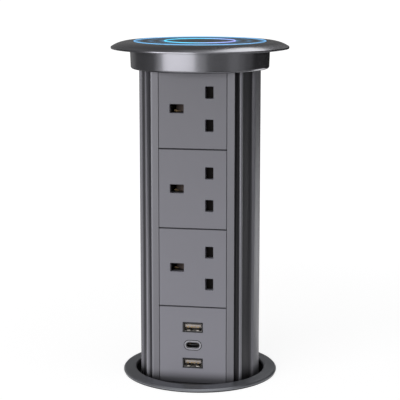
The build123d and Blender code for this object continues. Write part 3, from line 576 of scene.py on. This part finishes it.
def selectFaces(piece, wanted):
    # in edit mode, selects the faces whose middle and normal pass a test
    mesh = bmesh.from_edit_mesh(piece.data)
    bpy.ops.mesh.select_mode(type="FACE")
    bpy.ops.mesh.select_all(action="DESELECT")
    for face in mesh.faces:
        if wanted(face.calc_center_median(), face.normal):
            face.select_set(True)
    bmesh.update_edit_mesh(piece.data)


def selectEdges(piece, wanted):
    # in edit mode, selects the edges whose two ends pass a test
    mesh = bmesh.from_edit_mesh(piece.data)
    bpy.ops.mesh.select_mode(type="EDGE")
    bpy.ops.mesh.select_all(action="DESELECT")
    for edge in mesh.edges:
        if wanted(edge.verts[0].co, edge.verts[1].co):
            edge.select_set(True)
    bmesh.update_edit_mesh(piece.data)


def alongY(a, b):
    return abs(a.y - b.y) > mm


def startPoint(place):
    # a piece of one point, left in edit mode with that point selected
    bpy.ops.mesh.primitive_plane_add(size=mm)
    piece = activePiece()
    editMesh()
    bpy.ops.mesh.merge(type="CENTER")
    bpy.ops.mesh.select_mode(type="VERT")
    bpy.ops.transform.translate(value=place)
    return piece


def drawLine(points):
    # a line of edges in the XZ plane, drawn point by point
    piece = startPoint((points[0][0], 0, points[0][1]))
    for here, there in zip(points, points[1:]):
        drawTo((there[0] - here[0], 0, there[1] - here[1]))
    return piece


def lathe(points, steps):
    # a closed section in the XZ plane, swept round the column's axis
    piece = drawLine([*points, points[0]])
    selectAll()
    bpy.ops.mesh.remove_doubles(threshold=weldFine)
    sweep(steps, fullTurn)
    closeMesh(weld)
    smoothBelow(softAngle)
    return piece


def roundedEdges(piece, width, segments, angle=30):
    bevel = piece.modifiers.new("edges", "BEVEL")
    bevel.width = width
    bevel.segments = segments
    bevel.limit_method = "ANGLE"
    bevel.angle_limit = radians(angle)
    pick(piece)
    bpy.ops.object.modifier_apply(modifier="edges")
    smoothBelow(softAngle)


def cutAway(piece, cutter):
    cut = piece.modifiers.new("cut", "BOOLEAN")
    cut.operation = "DIFFERENCE"
    cut.solver = "EXACT"
    cut.object = cutter
    pick(piece)
    bpy.ops.object.modifier_apply(modifier="cut")
    bpy.data.objects.remove(cutter)


def joinPieces(pieces):
    pick(*pieces)
    bpy.ops.object.join()
    return activePiece()


def copyMoved(piece, step):
    pick(piece)
    bpy.ops.object.duplicate(linked=False)
    bpy.ops.transform.translate(value=step)
    bpy.ops.object.transform_apply(location=True)
    return activePiece()


def block(low, high):
    middle = [(a + b) / 2 for a, b in zip(low, high)]
    bpy.ops.mesh.primitive_cube_add(size=1, location=middle, scale=[b - a for a, b in zip(low, high)])
    bpy.ops.object.transform_apply(location=True, scale=True)
    return activePiece()


def rod(radius, depth, middleZ, sides):
    bpy.ops.mesh.primitive_cylinder_add(vertices=sides, radius=radius, depth=depth, location=(0, 0, middleZ))
    return activePiece()


def middleOf(node):
    low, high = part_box(node)
    return (low + high) / 2


# column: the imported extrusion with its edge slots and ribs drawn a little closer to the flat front

columnLook = {
    "profileRadius": 38.3, "cornerX": 28.4, "smoothAngle": 28,
    "angles": ((45.0, 43.92), (51.5, 50.3), (56.0, 53.2), (71.5, 71.5)),  # packed and drawn
    "angleSlack": 0.1, "frontSlack": 0.1,
}


def columnExtrusion():
    look = columnLook
    piece = bpy.data.objects.new("columnExtrusion", frame["nodes"]["column_extrusion"].data.copy())
    bpy.context.scene.collection.objects.link(piece)
    pick(piece)
    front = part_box("column_extrusion")[0].y
    editMesh()
    selectAll()
    bpy.ops.mesh.remove_doubles(threshold=weldCoarse)
    for vertex in bmesh.from_edit_mesh(piece.data).verts:
        place = vertex.co
        radius, angle = place.xy.length, degrees(atan2(abs(place.x), -place.y)) + look["angleSlack"]
        side = 1 if place.x > 0 else -1
        if radius < look["profileRadius"] * mm:
            continue
        for (old, new), (nextOld, nextNew) in zip(look["angles"], look["angles"][1:]):
            if old <= angle <= nextOld:
                turn = radians(new + (angle - look["angleSlack"] - old) * (nextNew - new) / (nextOld - old))
                place.x, place.y = side * radius * sin(turn), -radius * cos(turn)
                if place.y < front + look["frontSlack"] * mm:
                    place.x, place.y = side * look["cornerX"] * mm, front
                break
    bmesh.update_edit_mesh(piece.data)
    leaveMesh()
    smoothBelow(look["smoothAngle"])
    settle(piece, "columnExtrusion", "column_metal", "column_extrusion")


columnExtrusion()
print("column done")


# light rings: half-round guides that stand flush in the pad

ringLook = {"steps": 128, "arcPoints": 9, "crown": 0.35, "proud": 0.35}


def lightRing(name, node, finish):
    low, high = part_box(node)
    # the guide's width comes from its node's own vertices
    inner = min(vertex.co.xy.length for vertex in frame["nodes"][node].data.vertices)
    width = high.x - inner
    crown = ringLook["crown"] * width
    top = high.z + ringLook["proud"] * mm
    points = [(inner, low.z), (high.x, low.z)]
    for step in range(ringLook["arcPoints"]):
        turn = pi * step / (ringLook["arcPoints"] - 1)
        points.append((inner + width * (1 + cos(turn)) / 2, top - crown + crown * sin(turn)))
    settle(lathe(points, ringLook["steps"]), name, "light_guide", node, finish=finish)


lightRing("lightRingOuter", "light_ring_outer", "light_guide")
lightRing("lightRingInner", "light_ring_inner", "inner_light")
print("light rings done")


# threaded guide sleeve

sleeveLook = {
    "pitch": 3.0, "depth": 1.05, "steps": 96, "crestShare": 0.14, "rootShare": 0.14, "boreGap": 0.05,
    "turnsBelow": 2, "spareTurns": 5, "slotHalf": 3.0, "slotDepth": 1.2, "slotTopGap": 2.0, "smoothAngle": 28,
    "keyRadius": 39.85, "keyAngles": (56.5, 71.0), "keyGap": 0.4, "keyLap": 1.0, "keySteps": 8,
}


def threadedRod(low, high, crest):
    look = sleeveLook
    pitch = look["pitch"] * mm
    root = crest - look["depth"] * mm
    flat, top = pitch * look["rootShare"], pitch * look["crestShare"]
    rise = (pitch - flat - top) / 2
    start = low - look["turnsBelow"] * pitch
    sleeve = drawLine([(root, start), (root, start + flat), (crest, start + flat + rise),
                       (crest, start + flat + rise + top), (root, start + pitch)])
    leaveMesh()
    screw = sleeve.modifiers.new("thread", "SCREW")
    screw.axis = "Z"
    screw.angle = fullTurn
    screw.screw_offset = pitch
    screw.iterations = int((high - low) / pitch) + look["spareTurns"]
    screw.steps = screw.render_steps = look["steps"]
    screw.use_merge_vertices = True
    screw.merge_threshold = weld
    bpy.ops.object.modifier_apply(modifier="thread")
    editMesh()
    selectAll()
    bpy.ops.mesh.remove_doubles(threshold=weldFine)
    for height, keepAbove in ((low, True), (high, False)):
        selectAll()
        bpy.ops.mesh.bisect(plane_co=(0, 0, height), plane_no=(0, 0, 1), use_fill=True,
                            clear_inner=keepAbove, clear_outer=not keepAbove)
    closeMesh()
    return sleeve


def guideSleeve():
    look = sleeveLook
    low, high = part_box("guide_sleeve")
    crest = high.x
    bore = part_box("dust_seal")[1].x + look["boreGap"] * mm
    sleeve = threadedRod(low.z, high.z, crest)
    # the bore, and the slot down the back that keeps the washer from turning
    cutAway(sleeve, rod(bore, (high.z - low.z) * 2, (low.z + high.z) / 2, look["steps"]))
    slotHalf = look["slotHalf"] * mm
    cutAway(sleeve, block((-slotHalf, crest - look["slotDepth"] * mm, low.z - mm),
                          (slotHalf, crest + mm, high.z - look["slotTopGap"] * mm)))
    pick(sleeve)
    smoothBelow(look["smoothAngle"])
    # the two keys that run in the column's side grooves
    keys = []
    first, last = (radians(angle) for angle in look["keyAngles"])
    inner = look["keyRadius"] * mm
    length = bore + look["keyLap"] * mm - inner
    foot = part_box("base_cap")[1].z + look["keyGap"] * mm
    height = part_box("dust_seal")[0].z - foot
    for side in (-1, 1):
        outwards = Vector((side * sin(first), -cos(first), 0))
        keys.append(startPoint(inner * outwards + Vector((0, 0, foot))))
        drawTo(length * outwards)
        sweep(look["keySteps"], side * (first - last), foot)
        selectAll()
        pushOut((0, 0, height))
        closeMesh(weldFine)
    settle(joinPieces([sleeve, *keys]), "guideSleeve", "housing_plastic", "guide_sleeve", body="flange_and_sleeve")


guideSleeve()
print("guide sleeve threaded")


# charging ports

def openFrame(width, height, opening, frontY, middleZ, depth, corner, segments, innerScale=1.0):
    # a flat ring that faces -Y, given its depth backwards
    middle = (0, frontY, middleZ)
    bpy.ops.mesh.primitive_plane_add(size=1, location=middle, rotation=(pi / 2, 0, 0))
    piece = activePiece()
    bpy.ops.object.transform_apply(location=True, rotation=True)
    editMesh()
    selectAll()
    bpy.ops.transform.resize(value=(width, 1, height), center_override=middle)
    bpy.ops.mesh.bevel(offset=corner, segments=segments, affect="VERTICES")
    bpy.ops.mesh.remove_doubles(threshold=weldCoarse)
    bpy.ops.mesh.select_mode(type="FACE")
    selectAll()
    bpy.ops.mesh.inset(thickness=opening)
    bpy.ops.transform.resize(value=(1, 1, innerScale), center_override=middle)
    bpy.ops.mesh.delete(type="FACE")
    selectAll()
    bpy.ops.mesh.normals_make_consistent(inside=False)
    # the ring faces the front before it gets its depth
    if sum(face.normal.y for face in bmesh.from_edit_mesh(piece.data).faces) > 0:
        bpy.ops.mesh.flip_normals()
    leaveMesh()
    wall = piece.modifiers.new("depth", "SOLIDIFY")
    wall.thickness = depth
    wall.offset = -1
    bpy.ops.object.modifier_apply(modifier="depth")
    return piece


def hollowShell(low, high, wall, corner, segments, backLength):
    # a tube along Y, open in front and closed behind
    piece = block(low, high)
    editMesh()
    selectEdges(piece, alongY)
    bpy.ops.mesh.bevel(offset=corner, segments=segments, affect="EDGES")
    selectAll()
    bpy.ops.mesh.remove_doubles(threshold=weldCoarse)
    selectFaces(piece, lambda middle, normal: normal.y < -facing)
    bpy.ops.mesh.inset(thickness=wall)
    pushOut((0, high[1] - low[1] - backLength, 0))
    closeMesh()
    smoothBelow(shellAngle)
    return piece


widePortLook = {
    "wall": 0.4, "corner": 0.7, "segments": 3, "backLength": 3.0, "backGap": 0.5,
    "tongueWidth": 11.1, "tongueThickness": 1.9, "tongueSetback": 1.2, "tongueEdge": 0.18, "tongueSegments": 2,
    "contactPlaces": (-3.5, -1.0, 1.0, 3.5), "contactWidth": 1.15, "contactThickness": 0.16, "contactLength": 7.4,
    "contactLip": 0.7, "leafPlaces": (-3.1, 3.1), "leafWidth": 2.1, "leafLength": 6.4, "leafRise": 0.75,
    "leafSetback": 1.0, "leafSink": 0.02, "leafThickness": 0.2, "leafCuts": 5,
    "frameWidth": 14.06, "frameHeight": 7.06, "frameLap": 0.86, "frameScale": 0.965, "frameDepth": 0.2,
    "frameSetback": -0.25, "frameCorner": 0.35, "frameSegments": 3,
}


def bentLeaf(x, front, bottom):
    # a contact spring pressed out of the shell: it bows away from the wall
    look = widePortLook
    half, length, rise = look["leafWidth"] * mm / 2, look["leafLength"] * mm, look["leafRise"] * mm
    piece = block((x - half, front, bottom), (x + half, front + length, bottom + look["leafThickness"] * mm))
    editMesh()
    selectEdges(piece, alongY)
    bpy.ops.mesh.subdivide(number_cuts=look["leafCuts"])
    for vertex in bmesh.from_edit_mesh(piece.data).verts:
        vertex.co.z += rise * sin(pi * (vertex.co.y - front) / length) ** 2
    bmesh.update_edit_mesh(piece.data)
    leaveMesh()
    return piece


def portContact(x, front, top):
    # a strip under the tongue whose front end turns up over the tongue's nose
    look = widePortLook
    thick, half = look["contactThickness"] * mm, look["contactWidth"] * mm / 2
    strip = block((x - half, front - thick, top - thick), (x + half, front + look["contactLength"] * mm, top))
    editMesh()
    selectAll()
    bpy.ops.mesh.bisect(plane_co=(0, front, 0), plane_no=(0, 1, 0))
    selectFaces(strip, lambda middle, normal: normal.z > facing and middle.y < front)
    pushOut((0, 0, look["contactLip"] * mm))
    leaveMesh()
    return strip


def widePorts():
    look = widePortLook
    low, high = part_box("usb_a_port_upper")
    middle = (low + high) / 2
    drop = (0, 0, middleOf("usb_a_port_lower").z - middle.z)
    wall = look["wall"] * mm
    shell = hollowShell(low, high, wall, look["corner"] * mm, look["segments"], look["backLength"] * mm)
    leafFront, leafBottom = low.y + look["leafSetback"] * mm, low.z + wall - look["leafSink"] * mm
    shell = joinPieces([shell, *(bentLeaf(x * mm, leafFront, leafBottom) for x in look["leafPlaces"])])
    top = high.z - wall - look["tongueThickness"] / 2 * mm
    half = look["tongueWidth"] / 2 * mm
    front = low.y + look["tongueSetback"] * mm
    bottom = top - look["tongueThickness"] * mm
    tongue = block((-half, front, bottom), (half, high.y - look["backGap"] * mm, top))
    roundedEdges(tongue, look["tongueEdge"] * mm, look["tongueSegments"])
    contacts = joinPieces([portContact(x * mm, front, bottom) for x in look["contactPlaces"]])
    # painted shade: a black frame over the gap round each shell and over its rim, a dark piece that stands in for the
    # gap's shade
    shadeFrame = openFrame(look["frameWidth"] * mm, look["frameHeight"] * mm, look["frameLap"] * mm,
                         low.y + look["frameSetback"] * mm, middle.z, look["frameDepth"] * mm,
                         look["frameCorner"] * mm, look["frameSegments"], look["frameScale"])
    parts = (
        (shell, "widePortShell", "port_steel", None, "usb_a_port"),
        (tongue, "widePortTongue", "housing_plastic", "tongue_plastic", None),
        (contacts, "widePortContacts", "contact_brass", None, None),
        (shadeFrame, "widePortShadeFrame", "housing_plastic", None, None),
    )
    for piece, name, slotName, finish, node in parts:
        for each, where in ((piece, "upper"), (copyMoved(piece, drop), "lower")):
            replaced = [f"{node}_{where}"] if node else []
            settle(each, name + where.capitalize(), slotName, *replaced, finish=finish)


smallPortLook = {
    "wall": 0.3, "cornerShare": 0.995, "segments": 10, "backLength": 2.0, "backGap": 0.5,
    "tongueWidth": 6.7, "tongueThickness": 0.8, "tongueSetback": 1.0, "tongueEdge": 0.15, "tongueSegments": 3,
    "contactCount": 12, "contactPitch": 0.5, "contactWidth": 0.26, "contactThickness": 0.06,
    "contactSetback": 0.5, "contactLength": 4.5,
    "roundShare": 0.998, "roundSegments": 14, "bezelGap": 0.3, "bezelLap": 0.15, "bezelDepth": 4.7,
    "bezelEdge": 0.3, "bezelSegments": 3, "bezelAngle": 50,
    "shadeRingGrow": 0.2, "shadeRingWidth": 0.46, "shadeRingSetback": 0.12, "shadeRingDepth": 1.2,
}


def smallPort():
    look = smallPortLook
    low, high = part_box("usb_c_port")
    middle = (low + high) / 2
    corner = (high.z - low.z) / 2 * look["cornerShare"]
    shell = hollowShell(low, high, look["wall"] * mm, corner, look["segments"], look["backLength"] * mm)
    settle(shell, "smallPortShell", "port_steel", "usb_c_port", finish="dark_steel")
    half, thick = look["tongueWidth"] / 2 * mm, look["tongueThickness"] / 2 * mm
    front = low.y + look["tongueSetback"] * mm
    tongue = block((-half, front, middle.z - thick), (half, high.y - look["backGap"] * mm, middle.z + thick))
    roundedEdges(tongue, look["tongueEdge"] * mm, look["tongueSegments"])
    settle(tongue, "smallPortTongue", "housing_plastic")
    first = -(look["contactCount"] - 1) / 2 * look["contactPitch"] * mm
    half = look["contactWidth"] / 2 * mm
    strips = []
    for way in (-1, 1):
        bottom, top = sorted((middle.z + way * thick, middle.z + way * (thick + look["contactThickness"] * mm)))
        strip = block((first - half, front + look["contactSetback"] * mm, bottom),
                      (first + half, front + look["contactLength"] * mm, top))
        row = strip.modifiers.new("row", "ARRAY")
        row.use_relative_offset = False
        row.use_constant_offset = True
        row.constant_offset_displace = (look["contactPitch"] * mm, 0, 0)
        row.count = look["contactCount"]
        bpy.ops.object.modifier_apply(modifier="row")
        strips.append(strip)
    settle(joinPieces(strips), "smallPortContacts", "contact_brass")
    # bezel with a softened edge, and painted shade round it: a thin black ring, a dark piece that stands in for the
    # shade in the gap round the bezel
    bezelLow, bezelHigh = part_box("usb_c_bezel")
    width, height = bezelHigh.x - bezelLow.x, bezelHigh.z - bezelLow.z
    gap, grow = look["bezelGap"] * mm, look["shadeRingGrow"] * mm
    lap = (width - (high.x - low.x)) / 2 - gap - look["bezelLap"] * mm
    bezel = openFrame(width - 2 * gap, height - 2 * gap, lap, bezelLow.y, middle.z, look["bezelDepth"] * mm,
                      (height / 2 - gap) * look["roundShare"], look["roundSegments"])
    roundedEdges(bezel, look["bezelEdge"] * mm, look["bezelSegments"], look["bezelAngle"])
    settle(bezel, "smallPortBezel", "bezel_plastic", "usb_c_bezel")
    shadeRing = openFrame(width + 2 * grow, height + 2 * grow, look["shadeRingWidth"] * mm,
                     bezelLow.y + look["shadeRingSetback"] * mm, middle.z, look["shadeRingDepth"] * mm,
                     (height / 2 + grow) * look["roundShare"], look["roundSegments"])
    settle(shadeRing, "smallPortShadeRing", "black_rubber")


widePorts()
smallPort()
print("charging ports done")


# base screws

baseScrewLook = {
    "circle": 37.3, "angles": (95, 150, -150, -95), "sides": 24, "headRadius": 2.4, "headHeight": 1.4,
    "dome": 0.8, "domeSegments": 4, "shankRadius": 1.4, "shankLength": 9.0, "tipLength": 1.0, "tipScale": 0.55,
    "recessSides": 6, "recessRadius": 1.15, "recessDepth": 0.85, "smoothAngle": 30,
}


def baseScrews():
    look = baseScrewLook
    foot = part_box("base_screws")[0].z
    height = look["headHeight"] * mm
    screw = rod(look["headRadius"] * mm, height, foot + height / 2, look["sides"])
    bpy.ops.object.transform_apply(location=True)
    editMesh()
    selectEdges(screw, lambda a, b: max(a.z, b.z) < foot + height / 2)
    bpy.ops.mesh.bevel(offset=look["dome"] * mm, segments=look["domeSegments"], affect="EDGES")
    selectFaces(screw, lambda middle, normal: normal.z > facing)
    bpy.ops.mesh.inset(thickness=(look["headRadius"] - look["shankRadius"]) * mm)
    pushOut((0, 0, (look["shankLength"] - look["tipLength"]) * mm))
    pushOut((0, 0, look["tipLength"] * mm))
    bpy.ops.transform.resize(value=(look["tipScale"], look["tipScale"], 1))
    closeMesh()
    cutAway(screw, rod(look["recessRadius"] * mm, 2 * look["recessDepth"] * mm, foot, look["recessSides"]))
    pick(screw)
    smoothBelow(look["smoothAngle"])
    circle = look["circle"] * mm
    turns = [radians(angle) for angle in look["angles"]]
    screws = [copyMoved(screw, (circle * sin(turn), -circle * cos(turn), 0)) for turn in turns]
    bpy.data.objects.remove(screw)
    settle(joinPieces(screws), "baseScrews", "screw_steel", "base_screws")


baseScrews()
print("base screws done")


# shutter springs

springLook = {"wireRadius": 0.25, "turns": 6, "stepsPerTurn": 16, "wireSides": 8, "smoothAngle": 60}


def shutterSprings():
    look = springLook
    wire = look["wireRadius"] * mm
    low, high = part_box("shutter_spring_top")
    middle = (low + high) / 2
    length = high.x - low.x
    bpy.ops.mesh.primitive_circle_add(vertices=look["wireSides"], radius=wire, fill_type="NOTHING",
                                      location=(low.x + wire, middle.y, middle.z), rotation=(pi / 2, 0, 0))
    spring = activePiece()
    bpy.ops.object.transform_apply(location=False, rotation=True, scale=False)
    editMesh()
    bpy.ops.mesh.select_mode(type="VERT")
    selectAll()
    bpy.ops.transform.translate(value=(0, 0, (high.z - low.z) / 2 - wire))
    leaveMesh()
    coil = spring.modifiers.new("coil", "SCREW")
    coil.axis = "X"
    coil.angle = fullTurn * look["turns"]
    coil.screw_offset = length - 2 * wire
    coil.steps = coil.render_steps = look["stepsPerTurn"] * look["turns"]
    bpy.ops.object.modifier_apply(modifier="coil")
    editMesh()
    selectAll()
    bpy.ops.mesh.fill_holes(sides=look["wireSides"])
    closeMesh()
    bpy.ops.object.transform_apply(location=True)
    smoothBelow(look["smoothAngle"])
    rows = ("top", "middle", "lower")
    drops = [middleOf(f"shutter_spring_{row}").z - middle.z for row in rows[1:]]
    springs = [spring] + [copyMoved(spring, (0, 0, drop)) for drop in drops]
    for row, piece in zip(rows, springs):
        node, joint = f"shutter_spring_{row}", f"{row}_shutter_slide"
        settle(piece, "shutterSpring" + row.capitalize(), slotOf[node], node)
        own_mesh(piece)


shutterSprings()
print("shutter springs done")


# camera, floor and lights

cameraLook = {
    "distance": 0.9018, "height": 0.2887, "azimuth": 9.76, "pitch": 9.526, "focalPx": 1316.2, "framePx": 400,
    "shiftPx": 22, "sensor": 36.0, "clip": (0.01, 100),
}


def makeCamera():
    look = cameraLook
    data = bpy.data.cameras.new("camera")
    camera = bpy.data.objects.new("camera", data)
    bpy.context.scene.collection.objects.link(camera)
    turn, pitch = radians(look["azimuth"]), radians(look["pitch"])
    camera.location = (look["distance"] * sin(turn), -look["distance"] * cos(turn), look["height"])
    camera.rotation_euler = (pi / 2 - pitch, 0, turn)
    data.sensor_width = look["sensor"]
    data.lens = look["focalPx"] / look["framePx"] * look["sensor"]
    data.shift_y = -look["shiftPx"] / look["framePx"]
    data.clip_start, data.clip_end = look["clip"]
    bpy.context.scene.camera = camera


# metres, apart from the hole's radius in millimetres
studioLook = {
    "floorRadius": 30.0, "holeRadius": 49.2, "holeSteps": 128, "ringGrowth": 1.6,
    "floorColour": (0.3, 0.3, 0.3), "floorRoughness": 0.9, "nearGlow": 0.83, "farGlow": 0.97,
    "glowStart": 0.15, "glowEnd": 0.9, "worldColour": (1, 1, 1), "fill": 0.34, "aimHeight": 0.12,
}


def whenSeen(tree):
    # 1 for the camera, mirrors and glass, and 0 for the light that falls on things
    path = tree.nodes.new("ShaderNodeLightPath")
    seen = mathNode(tree, "MAXIMUM", path.outputs["Is Camera Ray"], path.outputs["Is Glossy Ray"])
    return mathNode(tree, "MAXIMUM", seen, path.outputs["Is Transmission Ray"])


def glowPaint(name, colour, roughness):
    return newMaterial(name, Base_Color=colour, Roughness=roughness, Specular_IOR_Level=0.0,
                       Emission_Color=(1, 1, 1))


def makeFloor():
    # rings that grow outwards round the hole in the worktop
    look = studioLook
    reach = look["holeRadius"] * mm
    bpy.ops.mesh.primitive_circle_add(vertices=look["holeSteps"], radius=reach, fill_type="NOTHING")
    floor = activePiece()
    editMesh()
    bpy.ops.mesh.select_mode(type="EDGE")
    selectAll()
    grow = look["ringGrowth"]
    while reach < look["floorRadius"]:
        bpy.ops.mesh.extrude_region_move()
        bpy.ops.transform.resize(value=(grow, grow, 1))
        reach *= grow
    closeMesh()
    floor.name = "floor"
    material, tree, inputs = glowPaint("floorPaint", look["floorColour"], look["floorRoughness"])
    # the paint glows a little more where the lamps no longer reach, so the sweep stays white
    x, y, _ = splitPlace(tree)
    glow = mapRange(tree, axisRadius(tree, x, y), look["glowStart"], look["glowEnd"],
                    look["nearGlow"], look["farGlow"], smooth=True)
    tree.links.new(times(tree, whenSeen(tree), glow), inputs["Emission Strength"])
    floor.data.materials.append(material)


def makeWorld():
    world = bpy.data.worlds.new("studio")
    bpy.context.scene.world = world
    world.use_nodes = True
    tree = world.node_tree
    background = tree.nodes["Background"]
    feed(tree, studioLook["worldColour"], background.inputs["Color"])
    feed(tree, mapRange(tree, whenSeen(tree), 0, 1, studioLook["fill"], 1.0), background.inputs["Strength"])


lampLooks = {
    "keyBox": {
        "azimuth": -35, "elevation": 5, "distance": 1.3, "size": (1.35, 0.8), "power": 18.5,
        "colour": (1, 0.985, 1),
    },
    "topBox": {
        "azimuth": 40, "elevation": 74, "distance": 1.4, "size": (1.2, 0.9), "power": 3,
        "colour": (0.97, 0.98, 1),
    },
}


def outward(azimuth, distance, height):
    # a place round the tower, its azimuth counted from the camera's side
    turn = radians(azimuth + cameraLook["azimuth"])
    return Vector((distance * sin(turn), -distance * cos(turn), height))


def makeLamps():
    aim = Vector((0, 0, studioLook["aimHeight"]))
    for name, look in lampLooks.items():
        data = bpy.data.lights.new(name, "AREA")
        data.shape = "RECTANGLE"
        data.size, data.size_y = look["size"]
        data.energy = look["power"]
        data.color = look["colour"]
        lamp = bpy.data.objects.new(name, data)
        bpy.context.scene.collection.objects.link(lamp)
        rise = radians(look["elevation"])
        lamp.location = aim + outward(look["azimuth"], look["distance"] * cos(rise), look["distance"] * sin(rise))
        lamp.rotation_euler = (aim - lamp.location).to_track_quat("-Z", "Y").to_euler()


# cards that only reflections see, swept round the tower: metres, and azimuths from the camera's side
cardReach, cardSteps = 1.7, 10
# upright ones: azimuths, lowest and highest edge, tone
cardLooks = {
    "rightCard": (8, 47, 0.0, 3.4, 0.02),
    "sideCardLow": (66, 95, 0.0, 0.5, 0.55),
    "sideCardHigh": (66, 95, 0.5, 3.4, 0.1),
    "farRightCard": (95, 126, 0.0, 3.4, 0.05),
    "backCardLow": (126, 166, 0.0, 0.5, 0.02),
    "backCardMiddle": (126, 166, 0.5, 1.6, 0.28),
    "backCardHigh": (126, 166, 1.6, 3.4, 4.5),
    "farBackCard": (166, 184, 0.0, 3.4, 0.15),
    "leftCard": (-72, -100, 0.0, 3.4, 0.2),
    "leftSideCard": (-100, -130, 0.0, 3.4, 0.15),
    "leftBackCard": (-130, -155, 0.0, 3.4, 0.34),
    "farLeftCard": (-155, -176, 0.0, 3.4, 0.2),
}
# level ones: azimuths, inner and outer radius, height, tone
levelCardLooks = {
    "nearFloorCard": (10, 78, 0.08, 0.35, 0.002, 0.9),
    "rightFloorCard": (10, 47, 0.35, 1.7, 0.002, 0.02),
    "sideFloorCard": (47, 78, 0.35, 1.7, 0.002, 0.5),
    "ribFloorCard": (78, 95, 0.08, 0.9, 0.002, 0.8),
    "farSideFloorCard": (78, 95, 0.9, 1.7, 0.002, 0.04),
    "grooveFloorCard": (95, 112, 0.08, 1.7, 0.002, 0.04),
    "nearWallCard": (112, 145, 0.08, 0.3, 0.002, 1.5),
    "wallFloorCard": (112, 145, 0.3, 0.98, 0.002, 2.7),
    "farWallFloorCard": (112, 145, 0.98, 1.7, 0.002, 0.04),
    "backFloorCard": (145, 180, 0.08, 1.7, 0.002, 0.05),
    "leftFloorCard": (-76, -176, 0.08, 1.7, 0.002, 0.2),
    "upperCard": (95, 168, 0.35, 1.7, 3.4, 3.0),
}


def sweptCard(name, first, last, turn, tone):
    # the line from first to last, swept round the tower
    piece = startPoint(first)
    drawTo(last - first)
    sweep(cardSteps, radians(turn))
    leaveMesh()
    piece.name = name
    material, _, inputs = glowPaint(name, (0, 0, 0), 1.0)
    inputs["Emission Strength"].default_value = tone
    piece.data.materials.append(material)
    piece.visible_camera = False
    piece.visible_diffuse = False
    piece.visible_shadow = False


def makeCards():
    for name, (start, end, low, high, tone) in cardLooks.items():
        sweptCard(name, outward(start, cardReach, low), outward(start, cardReach, high), start - end, tone)
    for name, (start, end, inner, outer, height, tone) in levelCardLooks.items():
        sweptCard(name, outward(start, inner, height), outward(start, outer, height), start - end, tone)


makeCamera()
makeFloor()
makeWorld()
makeLamps()
makeCards()
bpy.context.scene.view_settings.view_transform = "Standard"
print("studio ready")
